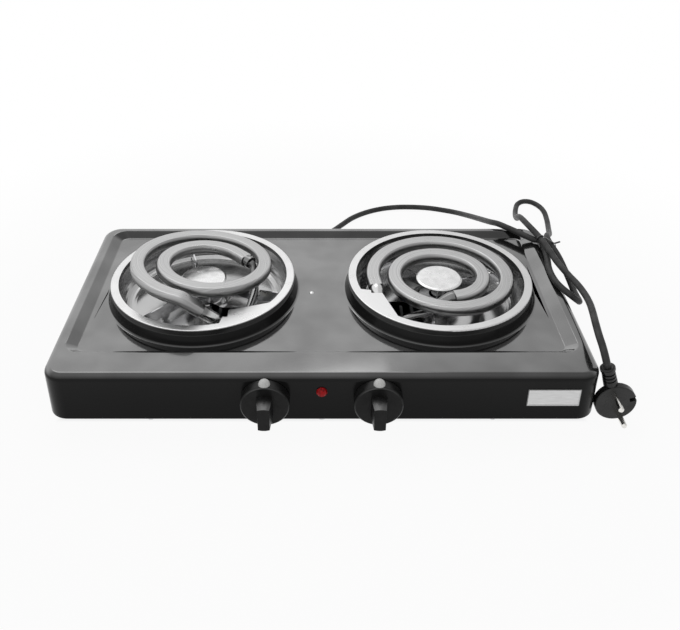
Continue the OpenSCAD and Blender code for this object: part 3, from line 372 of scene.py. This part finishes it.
def joined_rings(mesh, loops):
    """Rings of as many points each, joined by quads; gives back the last ring's vertices."""
    old = None
    for ring in loops:
        new = [mesh.verts.new(Vector(p) * MM) for p in ring]
        if old:
            for k in range(len(new)):
                mesh.faces.new((old[k - 1], old[k], new[k], new[k - 1]))
        old = new
    return old


def collar_ring(x, y, radius, up):
    turns = [math.radians(360 / COLLAR_SIDES * k) for k in range(COLLAR_SIDES)]
    return [(x + radius * math.cos(a), y + radius * math.sin(a), Z_DECK + up) for a in turns]


deck_edges = [joined_rings(skin, rings)]
for x, y in BURNERS.values():
    collar = [collar_ring(x, y, radius, up) for radius, up in reversed(COLLAR)]
    deck_edges.append(joined_rings(skin, collar))

# the level deck is filled in between its edge and the two collars
INSIDE_ONLY, SAME_POINT = 1, 1e-7  # the filler's output kind, and its reach in metres
corners = [v for loop in deck_edges for v in loop]
start, sides = 0, []
for loop in deck_edges:
    sides += [(start + k, start + (k + 1) % len(loop)) for k in range(len(loop))]
    start += len(loop)
filled = delaunay_2d_cdt([v.co.xy for v in corners], sides, [], INSIDE_ONLY, SAME_POINT)
triangles, came_from = filled[2], filled[3]
for triangle in triangles:
    face = [corners[came_from[k][0]] for k in triangle]
    middle = sum((v.co for v in face), Vector()) / 3 / MM
    from_burner = min(math.hypot(middle.x - x, middle.y - y) for x, y in BURNERS.values())
    if from_burner > COLLAR[0][0] - COLLAR_REACH:
        skin.faces.new(face)
bmesh.ops.recalc_face_normals(skin, faces=skin.faces)
top_faces = [f for f in skin.faces if f.calc_center_median().z > (Z_DECK - 1) * MM]
if sum(f.normal.z * f.calc_area() for f in top_faces) < 0:
    bmesh.ops.reverse_faces(skin, faces=skin.faces)
for face in skin.faces:
    face.smooth = True
cover_mesh = bpy.data.meshes.new("enamelled_cover")
skin.to_mesh(cover_mesh)
skin.free()
cover = bpy.data.objects.new("enamelled_cover", cover_mesh)
scene.collection.objects.link(cover)


def finished(piece, *modifiers):
    """The piece's modifiers made part of its mesh."""
    for kind, settings in modifiers:
        modifier = piece.modifiers.new(kind.lower(), kind)
        for key, value in settings.items():
            setattr(modifier, key, value)
    bpy.context.view_layer.update()
    seen = piece.evaluated_get(bpy.context.evaluated_depsgraph_get())
    piece.data = bpy.data.meshes.new_from_object(seen)
    piece.modifiers.clear()


finished(cover, ("SOLIDIFY", {"thickness": SHEET * MM, "offset": -1, "use_even_offset": True}))
cover.data.set_sharp_from_angle(angle=math.radians(SHARP_BEND))
finished(cover, ("WEIGHTED_NORMAL", {"weight": 90, "keep_sharp": True}))
painted(cover, enamel)
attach(cover, "body")
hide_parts("top_cover")

# ---------- base plate and fixings ----------
# The floor is a zinc-plated steel sheet with vent slots, held by six screws and standing on four
# rubber feet that are screwed to it. The brackets and screws inside are plated alike.
zinc = surface("zinc_sheet", (0.56, 0.57, 0.58), 0.38, metal=1.0)
spangle = add(zinc, "ShaderNodeTexVoronoi", Scale=70.0)
wire(zinc, place_on(zinc), spangle.inputs["Vector"])
crystals = spread(zinc, spangle.outputs["Distance"], 0, 1, start=0.0, stop=0.8)
shade(zinc, crystals, (0.48, 0.49, 0.5), (0.62, 0.63, 0.64))
shine(zinc, grain(zinc, 40), 0.3, 0.5)
coat(zinc, "base_plate", "coil_bracket_left", "coil_bracket_right")

bright_screw = surface("zinc_screws", (0.68, 0.68, 0.69), 0.3, metal=1.0)
shine(bright_screw, grain(bright_screw, 900), 0.2, 0.42)
uneven(bright_screw, grain(bright_screw, 1500), 0.00003)
coat(bright_screw, "base_screws", "foot_screws", "thermostat_screws", "inside_screws")

foot_rubber = surface("foot_rubber", grey(0.03), 0.75)
mottled(foot_rubber, 300, grey(0.02), grey(0.05))
uneven(foot_rubber, grain(foot_rubber, 1600), 0.00008)
coat(foot_rubber, "rubber_feet")

rivet = surface("rivet_aluminium", grey(0.82), 0.25, metal=1.0)
shine(rivet, grain(rivet, 1200), 0.18, 0.35)
coat(rivet, "deck_rivet")

# ---------- trim rings ----------
# Each ring is spun from bright steel, with a flat satin face, a turned-down outer edge and a
# cover plate over the coil's ends. Fine turning marks run round it.


def turned(made, centre, fineness):
    """Marks left round a burner's axis by turning: noise read along the radius."""
    x, y = centre
    offset = add(made, "ShaderNodeVectorMath", operation="SUBTRACT")
    offset.inputs[1].default_value = (x * MM, y * MM, 0)
    flat = add(made, "ShaderNodeVectorMath", operation="MULTIPLY")
    flat.inputs[1].default_value = (1, 1, 0)
    length = add(made, "ShaderNodeVectorMath", operation="LENGTH")
    noise = add(made, "ShaderNodeTexNoise", noise_dimensions="1D", Scale=fineness, Detail=4.0)
    wire(made, place_on(made), offset.inputs[0])
    wire(made, offset.outputs["Vector"], flat.inputs[0])
    wire(made, flat.outputs["Vector"], length.inputs[0])
    wire(made, length.outputs["Value"], noise.inputs["W"])
    return noise.outputs["Fac"]


for side, centre in BURNERS.items():
    satin = surface("ring_chrome_" + side, grey(0.75), 0.3, metal=1.0)
    marks = turned(satin, centre, 2600)
    ring_face = shade(satin, spread(satin, marks, 0, 1, start=0.3, stop=0.7), grey(0.67), grey(0.77))
    # painted reflection: the turned-down edge is painted dark, standing in for the dark deck that it
    # mirrors
    level = spread(satin, facing_up(satin), 0, 1, start=0.3, stop=0.75)
    shade(satin, level, grey(0.13), ring_face)
    shine(satin, grain(satin, 60), 0.26, 0.38)
    uneven(satin, marks, 0.000006)
    coat(satin, "trim_ring_" + side)

# ---------- drip bowls, supports and centre discs ----------
# The bowl is a bright plated pressing that catches spills. A three-armed support stands in it on
# round feet, carries the coil on its edges and a polished disc in the middle.
for side, centre in BURNERS.items():
    plated = surface("bowl_chrome_" + side, grey(0.52), 0.16, metal=1.0)
    shine(plated, grain(plated, 35, detail=4.0), 0.12, 0.24)
    uneven(plated, grain(plated, 24, detail=1.0), 0.0003)
    coat(plated, "drip_bowl_" + side)

    support = surface("spider_chrome_" + side, (0.7, 0.7, 0.71), 0.16, metal=1.0)
    shine(support, grain(support, 120), 0.1, 0.26)
    coat(support, "spider_" + side)

    polished = surface("disc_steel_" + side, grey(0.82), 0.22, metal=1.0)
    mottled(polished, 140, grey(0.76), grey(0.86), detail=5.0)
    shine(polished, grain(polished, 90), 0.16, 0.32)
    uneven(polished, turned(polished, centre, 900), 0.00001)
    coat(polished, "centre_disc_" + side)

# ---------- heating coils ----------
# Each coil is one steel-sheathed tube, packed with magnesia round a resistance wire, wound into a
# flat spiral and pressed flat on top. The right one lies level; the left one has sprung up.
TUBE_R, TUBE_SIDES = 7.25, 56
TUBE_FLAT, FLAT_EDGE = 4.7, 0.7  # the pressed face over the tube's middle, and its soft edge
Z_COIL = 62.8  # the level tube's middle
# the spiral, from the burner's axis: a straight run, then arcs that wind clockwise to the middle
START_X, START_Y, START_HEADING, FIRST_RUN = -63.6, -19.0, 97.0, 12.0
ARCS = [(66.0, 177.0), (56.0, 163.0), (44.5, 168.0)]  # radius, and sweep in degrees
LAST_R, LAST_SWEEP_RIGHT, LAST_SWEEP_LEFT = 37.5, 122, 72
SWEEP_STEP, RUN_STEPS = 3, 4
# how the left coil lies: turned, tilted and lifted
TURN = Matrix.Rotation(math.radians(77.5), 3, "Z")
TILT = Matrix.Rotation(math.radians(7.5), 3, Vector((-0.64, 0.77, 0)).normalized())
LIFT = Vector((4.85, -3.5, 14.5))
END_RUN = 15.5  # the left coil's straight inner end
BENT_DOWN = [Vector((6, -66.3, 7.3)), Vector((0, -67, 12.6)), Vector((-6, -67.6, 17.6))]
BEND_STEPS, ELBOW, EASE_ROUNDS = 4, 18, 24  # the elbow's points are evened out that many times
CRISP_END = 40  # degrees, past which a tube's end shows as an edge


def clockwise(x, y, heading, radius, degrees):
    """Where an arc leads that turns right by that many degrees: place and new heading."""
    a, b = math.radians(heading), math.radians(heading - degrees)
    x += radius * (math.sin(a) - math.sin(b))
    y -= radius * (math.cos(a) - math.cos(b))
    return x, y, heading - degrees


def spiral(last_sweep):
    a = math.radians(START_HEADING)
    run_x, run_y = FIRST_RUN * math.cos(a), FIRST_RUN * math.sin(a)
    points = []
    for k in range(RUN_STEPS):
        points.append(Vector((START_X + run_x * k / RUN_STEPS, START_Y + run_y * k / RUN_STEPS, 0)))
    here = (START_X + run_x, START_Y + run_y, START_HEADING)
    for radius, sweep in ARCS + [(LAST_R, last_sweep)]:
        count = math.ceil(sweep / SWEEP_STEP)
        for k in range(count):
            x, y, _ = clockwise(*here, radius, sweep * k / count)
            points.append(Vector((x, y, 0)))
        here = clockwise(*here, radius, sweep)
    return points + [Vector((here[0], here[1], 0))]


def tube_tree():
    """Sweeps a round section, pressed flat on top, along a path; the flat faces 'Up'."""
    tree = bpy.data.node_groups.new("pressed_tube", "GeometryNodeTree")
    side = tree.interface
    side.new_socket("Geometry", in_out="INPUT", socket_type="NodeSocketGeometry")
    for name, kind in (("Radius", "NodeSocketFloat"), ("Flat height", "NodeSocketFloat"),
            ("Edge softness", "NodeSocketFloat"), ("Sides", "NodeSocketInt"),
            ("Up", "NodeSocketVector"), ("Finish", "NodeSocketMaterial")):
        side.new_socket(name, in_out="INPUT", socket_type=kind)
    side.new_socket("Geometry", in_out="OUTPUT", socket_type="NodeSocketGeometry")
    new, link = tree.nodes.new, tree.links.new
    given, result = new("NodeGroupInput"), new("NodeGroupOutput")
    # the section: a circle whose height is held below the flat
    circle = new("GeometryNodeCurvePrimitiveCircle")
    link(given.outputs["Sides"], circle.inputs["Resolution"])
    link(given.outputs["Radius"], circle.inputs["Radius"])
    place = new("GeometryNodeInputPosition")
    split = new("ShaderNodeSeparateXYZ")
    held = new("ShaderNodeMath")
    joined = new("ShaderNodeCombineXYZ")
    held.operation = "SMOOTH_MIN"
    link(place.outputs[0], split.inputs[0])
    link(split.outputs["X"], held.inputs[0])
    link(given.outputs["Flat height"], held.inputs[1])
    link(given.outputs["Edge softness"], held.inputs[2])
    link(held.outputs[0], joined.inputs["X"])
    link(split.outputs["Y"], joined.inputs["Y"])
    pressed = new("GeometryNodeSetPosition")
    link(circle.outputs["Curve"], pressed.inputs["Geometry"])
    link(joined.outputs[0], pressed.inputs["Position"])
    # the path's normal: 'Up' made square to the path
    tangent = new("GeometryNodeInputTangent")
    dot, lengthwise, square = (new("ShaderNodeVectorMath") for _ in range(3))
    dot.operation, lengthwise.operation, square.operation = "DOT_PRODUCT", "SCALE", "SUBTRACT"
    link(tangent.outputs[0], dot.inputs[0])
    link(given.outputs["Up"], dot.inputs[1])
    link(tangent.outputs[0], lengthwise.inputs[0])
    link(dot.outputs["Value"], lengthwise.inputs["Scale"])
    link(given.outputs["Up"], square.inputs[0])
    link(lengthwise.outputs[0], square.inputs[1])
    normal = new("GeometryNodeSetCurveNormal")
    normal.mode = "FREE"
    link(given.outputs["Geometry"], normal.inputs["Curve"])
    link(square.outputs[0], normal.inputs["Normal"])
    sweep = new("GeometryNodeCurveToMesh")
    sweep.inputs["Fill Caps"].default_value = True
    link(normal.outputs[0], sweep.inputs["Curve"])
    link(pressed.outputs[0], sweep.inputs["Profile Curve"])
    real = new("GeometryNodeRealizeInstances")
    smooth = new("GeometryNodeSetShadeSmooth")
    finish = new("GeometryNodeSetMaterial")
    link(sweep.outputs[0], real.inputs[0])
    link(real.outputs[0], smooth.inputs["Geometry"])
    link(smooth.outputs[0], finish.inputs["Geometry"])
    link(given.outputs["Finish"], finish.inputs["Material"])
    link(finish.outputs[0], result.inputs[0])
    return tree


pressed_tube = tube_tree()
NEVER_PRESSED = 100.0  # a flat height above any tube, which leaves it round


def tube(name, path, radius, made, sides, flat=NEVER_PRESSED, soft=0.0, up=(0, 0, 1)):
    """A plain mesh swept along a path given in millimetres."""
    line = curve_object(name + "_line", path)
    modifier = line.modifiers.new("tube", "NODES")
    modifier.node_group = pressed_tube
    values = {"Radius": radius * MM, "Flat height": flat * MM, "Edge softness": soft * MM,
        "Sides": sides, "Up": list(up), "Finish": made}
    for item in pressed_tube.interface.items_tree:
        if item.in_out == "INPUT" and item.name in values:
            modifier[item.identifier] = values[item.name]
    bpy.context.view_layer.update()
    seen = line.evaluated_get(bpy.context.evaluated_depsgraph_get())
    mesh = bpy.data.meshes.new_from_object(seen)
    piece = bpy.data.objects.new(name, mesh)
    scene.collection.objects.link(piece)
    bpy.data.objects.remove(line)
    return piece


def squared(piece):
    """Smooth faces, with the ends kept crisp."""
    for polygon in piece.data.polygons:
        polygon.use_smooth = True
    piece.data.set_sharp_from_angle(angle=math.radians(CRISP_END))
    return piece


CENTRES = {side: Vector((x, y, Z_COIL)) for side, (x, y) in BURNERS.items()}
right_path = spiral(LAST_SWEEP_RIGHT)
left_path = [TILT @ (TURN @ p) + LIFT for p in spiral(LAST_SWEEP_LEFT)]
left_on = (left_path[-1] - left_path[-2]).normalized()
end_run = [left_path[-1] + left_on * END_RUN * k / RUN_STEPS for k in range(1, RUN_STEPS + 1)]
# the left coil's outer end has no straight run: it is bent down over a soft former
left_path = left_path[RUN_STEPS:] + end_run
left_path = smooth_path(BENT_DOWN + left_path[2:4], BEND_STEPS)[:-1] + left_path[3:]
for _ in range(EASE_ROUNDS):
    neighbours = zip(left_path, left_path[1:ELBOW], left_path[2:])
    left_path[1:ELBOW] = [(a + 2 * b + c) / 4 for a, b, c in neighbours]

COILS = {"right": (right_path, (0, 0, 1)), "left": (left_path, tuple(TILT @ Vector((0, 0, 1))))}
for side, (path, up) in COILS.items():
    sheath = surface("coil_sheath_" + side, grey(0.5), 0.32, metal=1.0)
    marks = turned(sheath, BURNERS[side], 1300)
    tube_face = shade(sheath, spread(sheath, marks, 0, 1, start=0.3, stop=0.7), grey(0.38), grey(0.62))
    # painted shade: the rounded sides are painted darker than the pressed face, standing in for the
    # dark deck and bowl that they mirror
    level = spread(sheath, facing_up(sheath), 0, 1, start=0.1, stop=0.9)
    shade(sheath, level, grey(0.26), tube_face)
    shine(sheath, grain(sheath, 80), 0.27, 0.38)
    uneven(sheath, marks, 0.00004)
    coil = tube("heating_tube_" + side, [p + CENTRES[side] for p in path], TUBE_R, sheath,
        sides=TUBE_SIDES, flat=TUBE_FLAT, soft=FLAT_EDGE, up=up)
    squared(coil)
    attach(coil, "body")
    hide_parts("heating_coil_" + side)

# ---------- cold ends of the coils ----------
# Where the tube stops glowing it goes into a bright sleeve and then a thinner leg, which dips
# under the cover plate and stands in a glazed ceramic bush in a bracket under the bowl.
SLEEVE_R, LEG_R, STUD_R, STUD_LONG = 6, 4, 2, 7
SLEEVE_STEPS, LEG_STEPS = 8, 6
SLEEVE_SIDES, LEG_SIDES, STUD_SIDES = 32, 24, 20
BUSH_TOP = 21.4
DROP = BUSH_TOP - Z_COIL
# the right coil's outer and inner leg stand in one row; the left ones are a quarter turn on
OUTER, INNER, ROW = -61, -45, -45


def at(*numbers):
    """A place, or the step from one place to another."""
    return Vector(numbers)


right_start, right_end = right_path[0], right_path[-1]
right_on = (right_path[-1] - right_path[-2]).normalized()
left_start, left_end = left_path[0], left_path[-1]
left_down = (BENT_DOWN[0] - BENT_DOWN[1]).normalized()
# routes from the burner's axis and the level tube's middle: the outer end, then the inner one
sleeves = {
    "right": [
        [right_start + at(0.06, -0.5, 0), right_start + at(0.5, -4, -0.5), at(-62.6, -26, -3.6),
            at(-62.2, -29.5, -6.6)],
        [right_end + right_on * 0.5, right_end + right_on * 4 + at(0, 0, -0.4), at(2, -37, -2.4),
            at(-3, -38.6, -5.2)]],
    "left": [
        [left_start + left_down * 0.5, left_start + left_down * 5, left_start + left_down * 17],
        [left_end + left_on * 0.5, left_end + left_on * 2.2, left_end + left_on * 4,
            left_end + left_on * 6.3 + at(0, 0, -0.3)]]}
legs = {
    "right": [
        [at(-62.5, -28, -5.3), at(-61.6, -36, -12.5), at(OUTER, -42.5, -20), at(OUTER, ROW, -28),
            at(OUTER, ROW, DROP)],
        [at(-1.5, -38, -4.4), at(-8.5, -40, -9.4), at(-18, -42, -13.4), at(-32, -44.4, -16.5),
            at(-41, ROW, -21.5), at(INNER, ROW, -28.5), at(INNER, ROW, DROP)]],
    "left": [
        [left_start + left_down * 16, at(24.5, -64.2, -9.4), at(34, -62.5, -17.5),
            at(42.5, OUTER - 0.3, -25), at(-ROW, OUTER, -31), at(-ROW, OUTER, DROP)],
        [left_end + left_on * 4 + at(0.17, 0.03, -0.37), at(48.6, 12.4, 3.2), at(49.2, 5, -5),
            at(50.6, -4, -9), at(51, -12, -9.9), at(48.8, -26, -13.2), at(46, -37.5, -17.5),
            at(-ROW, INNER + 1.2, -23.5), at(-ROW, INNER, -31), at(-ROW, INNER, DROP)]]}
# painted shade: all but a stretch of the outer sleeve is painted dark, and that stretch is left bright
KEPT_BRIGHT = {"right": sleeves["right"][0][1], "left": left_start + left_down * 12}
for side in ("left", "right"):
    bright = surface("sleeve_chrome_" + side, (0.8, 0.8, 0.81), 0.2, metal=1.0)
    shine(bright, grain(bright, 160), 0.14, 0.3)
    uneven(bright, grain(bright, 500), 0.00003)
    # painted shade: dark a few millimetres away from the bright stretch
    spot = add(bright, "ShaderNodeVectorMath", operation="DISTANCE")
    wire(bright, place_on(bright), spot.inputs[0])
    spot.inputs[1].default_value = (KEPT_BRIGHT[side] + CENTRES[side]) * MM
    painted_shade_share = spread(bright, spot.outputs["Value"], 0, 1, start=0.0065, stop=0.0095)
    shade(bright, painted_shade_share, grey(0.72), grey(0.22))
    parts = []
    for sleeve, leg in zip(sleeves[side], legs[side]):
        sleeve = [p + CENTRES[side] for p in smooth_path(sleeve, SLEEVE_STEPS)]
        foot = leg[-1] + CENTRES[side]
        leg = [p + CENTRES[side] for p in smooth_path(leg, LEG_STEPS)]
        stud = [foot, foot - at(0, 0, STUD_LONG)]
        parts.append(tube("sleeve", sleeve, SLEEVE_R, bright, sides=SLEEVE_SIDES))
        parts.append(tube("leg", leg, LEG_R, bright, sides=LEG_SIDES))
        parts.append(tube("stud", stud, STUD_R, bright, sides=STUD_SIDES, up=(1, 0, 0)))
    with bpy.context.temp_override(active_object=parts[0], selected_editable_objects=parts):
        bpy.ops.object.join()
    ends = squared(parts[0])
    ends.name = "coil_ends_" + side
    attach(ends, "body")
    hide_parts("cold_ends_" + side)

glazed = surface("ceramic", (0.84, 0.83, 0.77), 0.22)
mottled(glazed, 500, (0.8, 0.78, 0.71), (0.88, 0.87, 0.82))
coat(glazed, "ceramic_bushes_left", "ceramic_bushes_right")

# ---------- thermostats and wiring ----------
# Under the cover each thermostat is screwed behind the panel, and wires run from the terminal
# block to it, to the coils and to the earth screw. They are seen only when the floor is off.
INSIDE = [  # finish, colour, roughness, metal, pieces
    ("thermostat_resin", (0.66, 0.6, 0.47), 0.5, 0, ["thermostat_left", "thermostat_right"]),
    ("spindle_brass", (0.72, 0.58, 0.3), 0.25, 1, ["spindle_left", "spindle_right"]),
    ("earth_brass", (0.7, 0.56, 0.28), 0.3, 1, ["earth_screw"]),
    ("nylon_white", (0.78, 0.78, 0.73), 0.4, 0, ["terminal_block", "lamp_holder"]),
    ("clamp_nylon", grey(0.05), 0.45, 0, ["cord_clamp"]),
    ("wire_brown", (0.2, 0.09, 0.04), 0.4, 0, ["live_wires"]),
    ("wire_blue", (0.04, 0.12, 0.4), 0.4, 0, ["neutral_wires"]),
    ("wire_green_yellow", (0.35, 0.45, 0.05), 0.4, 0, ["earth_wires"]),
    ("wire_glass_sleeve", (0.68, 0.66, 0.58), 0.8, 0, ["element_wires"])]
DARKER, LIGHTER = 0.85, 1.12
for name, colour, rough, metal, names in INSIDE:
    made = surface(name, colour, rough, metal)
    dark = tuple(c * DARKER for c in colour)
    light = tuple(min(1, c * LIGHTER) for c in colour)
    mottled(made, 350, dark, light)
    uneven(made, grain(made, 1400), 0.00005)
    coat(made, *names)

# ---------- knobs ----------
# Each knob is a black moulding: a round dial with a grip bar across it, pushed on to a flatted
# spindle. A white bead in the dial's rim shows where it stands.
DIAL_FACE, FADE = -0.124, 0.0005  # metres; the grip stands in front of the dial's face
moulded = surface("knob_black", grey(0.01), 0.34, Specular_IOR_Level=0.14, Coat_Roughness=0.3,
    Coat_IOR=1.9)
mottled(moulded, 150, grey(0.007), grey(0.013))
shine(moulded, grain(moulded, 500), 0.3, 0.42)
uneven(moulded, grain(moulded, 3500), 0.00003)
# hands have polished what faces up, and the grip more than the dial
depth = along(moulded, place_on(moulded), "Y")
on_the_grip = spread(moulded, depth, 0.9, 0.12, start=DIAL_FACE - FADE, stop=DIAL_FACE + FADE)
faced_up = spread(moulded, facing_up(moulded), 0, 1, start=0.35, stop=0.95)
handled = worked_out(moulded, "MULTIPLY", faced_up, on_the_grip)
wire(moulded, handled, shader(moulded).inputs["Coat Weight"])
coat(moulded, "knob_left", "knob_right")

bead = surface("bead_white", (0.6, 0.6, 0.59), 0.4)
mottled(bead, 900, (0.55, 0.55, 0.54), (0.66, 0.66, 0.65))
coat(bead, "pointer_bead_left", "pointer_bead_right")

# ---------- signal lamp ----------
# A red lens is pressed into the panel, over a neon in its holder. Facets moulded on its inside scatter
# the light, which is painted into the lens's colour as lighter and darker facets.
lens = surface("lamp_red", (0.25, 0.004, 0.008), 0.16, Specular_IOR_Level=0.12)
facets = add(lens, "ShaderNodeTexVoronoi", Scale=420.0)
wire(lens, place_on(lens), facets.inputs["Vector"])
# painted light: the red runs from dark at each facet's middle to light at its edge
painted_facet_light = spread(lens, facets.outputs["Distance"], 0, 1, start=0.0, stop=0.7)
shade(lens, painted_facet_light, (0.08, 0.001, 0.002), (0.42, 0.008, 0.01))
coat(lens, "lamp_lens")

# ---------- plain plate ----------
# A satin aluminium plate is stuck on the front panel. It is brushed lengthwise and left bare but
# for a raised line and a darker border along its edge.
BORDER = 0.7
plate = surface("badge_silver", (0.62, 0.62, 0.6), 0.34, metal=1.0)
brushed = grain(plate, 60, stretch=(2, 2, 60))
plate_face = shade(plate, spread(plate, brushed, 0, 1), grey(0.55), grey(0.68))
shine(plate, brushed, 0.28, 0.42)
low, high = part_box("badge_plate")
from_middle = add(plate, "ShaderNodeVectorMath", operation="SUBTRACT")
wire(plate, place_on(plate), from_middle.inputs[0])
from_middle.inputs[1].default_value = [(a + b) / 2 for a, b in zip(low, high)]
either_way = add(plate, "ShaderNodeVectorMath", operation="ABSOLUTE")
wire(plate, from_middle.outputs[0], either_way.inputs[0])
near_edge = {}
for axis, place in (("X", 0), ("Z", 2)):
    near = add(plate, "ShaderNodeMath", operation="GREATER_THAN")
    near.inputs[1].default_value = (high[place] - low[place]) / 2 - BORDER * MM
    wire(plate, along(plate, either_way.outputs[0], axis), near.inputs[0])
    near_edge[axis] = near.outputs[0]
line = worked_out(plate, "MAXIMUM", near_edge["X"], near_edge["Z"])
shade(plate, line, plate_face, grey(0.2))
coat(plate, "badge_plate")

# ---------- studio ----------
# The hot plate stands on a pale worktop under a white sky, which is a little dimmer on the right.
# One wide soft light hangs above and behind it. All sizes here are in metres.
LEFT, RIGHT, FRONT, BACK = -6, 6, -6, 9
UNDER_X, UNDER_Y = (0.2, 0.235), (0.08, 0.11)  # where the full shadow under the body gives way
SHADOW_ENDS = (0.35, 0.6)  # and where the faint shadow round it does, from the middle
NEAR_WHITE = 0.93  # the share of plain white close to the object, where its shadow lies
pale = surface("worktop_pale", grey(0.82), 0.9, Specular_IOR_Level=0.0)


def looked_at(made):
    """1 for what the camera sees directly, in a mirror or through glass, else 0."""
    ray = add(made, "ShaderNodeLightPath").outputs
    seen = worked_out(made, "MAXIMUM", ray["Is Camera Ray"], ray["Is Glossy Ray"])
    return worked_out(made, "MAXIMUM", seen, ray["Is Transmission Ray"])


white = add(pale, "ShaderNodeEmission", Strength=1.0)
blend = add(pale, "ShaderNodeMixShader")
off = add(pale, "ShaderNodeVectorMath", operation="ABSOLUTE")
wire(pale, place_on(pale), off.inputs[0])
# under the body the floor keeps its full shadow, as seen through the vents
beyond = [spread(pale, along(pale, off.outputs[0], axis), 0, 1, start=start, stop=stop)
    for axis, (start, stop) in (("X", UNDER_X), ("Y", UNDER_Y))]
clear_of_body = worked_out(pale, "MAXIMUM", *beyond)
share = worked_out(pale, "MULTIPLY", looked_at(pale), clear_of_body)
# round the object it keeps a little of the shadow, and none far away
away = add(pale, "ShaderNodeVectorMath", operation="LENGTH")
wire(pale, off.outputs[0], away.inputs[0])
inner, outer = SHADOW_ENDS
whiter = spread(pale, away.outputs["Value"], NEAR_WHITE, 1.0, start=inner, stop=outer)
wire(pale, worked_out(pale, "MULTIPLY", share, whiter), blend.inputs[0])
wire(pale, shader(pale).outputs[0], blend.inputs[1])
wire(pale, white.outputs[0], blend.inputs[2])
wire(pale, blend.outputs[0], pale.node_tree.nodes["Material Output"].inputs["Surface"])

floor_mesh = bpy.data.meshes.new("worktop")
floor_corners = [(LEFT, FRONT, 0), (RIGHT, FRONT, 0), (RIGHT, BACK, 0), (LEFT, BACK, 0)]
floor_mesh.from_pydata(floor_corners, [], [(0, 1, 2, 3)])
floor_mesh.materials.append(pale)
floor = bpy.data.objects.new("worktop", floor_mesh)
scene.collection.objects.link(floor)

world = bpy.data.worlds.new("sky")
world.use_nodes = True
scene.world = world
sky = world.node_tree.nodes["Background"]
sky.inputs["Color"].default_value = (1, 1, 1, 1)
direction = add(world, "ShaderNodeTexCoord").outputs["Generated"]
right_side = spread(world, along(world, direction, "X"), 1.0, 0.66, start=0.0, stop=0.34)
straight_on = add(world, "ShaderNodeLightPath").outputs["Is Camera Ray"]
dimmer = worked_out(world, "MAXIMUM", right_side, straight_on)
plain = spread(world, looked_at(world), 0.7, 1.0, start=0.0, stop=1.0)
wire(world, worked_out(world, "MULTIPLY", plain, dimmer), sky.inputs["Strength"])


def soft_light(name, place, aim, wide, high, brightness):
    """An area light whose face is that many times as bright as white."""
    data = bpy.data.lights.new(name, "AREA")
    data.shape = "RECTANGLE"
    data.size, data.size_y = wide, high
    data.energy = brightness * wide * high * math.pi
    light = bpy.data.objects.new(name, data)
    light.location = place
    light.rotation_euler = (Vector(aim) - Vector(place)).to_track_quat("-Z", "Y").to_euler()
    scene.collection.objects.link(light)


soft_light("back_light", place=(-0.5, 1.6, 2.4), aim=(0, 0, 0), wide=2.0, high=1.2, brightness=1.3)
scene.view_settings.view_transform = "Standard"
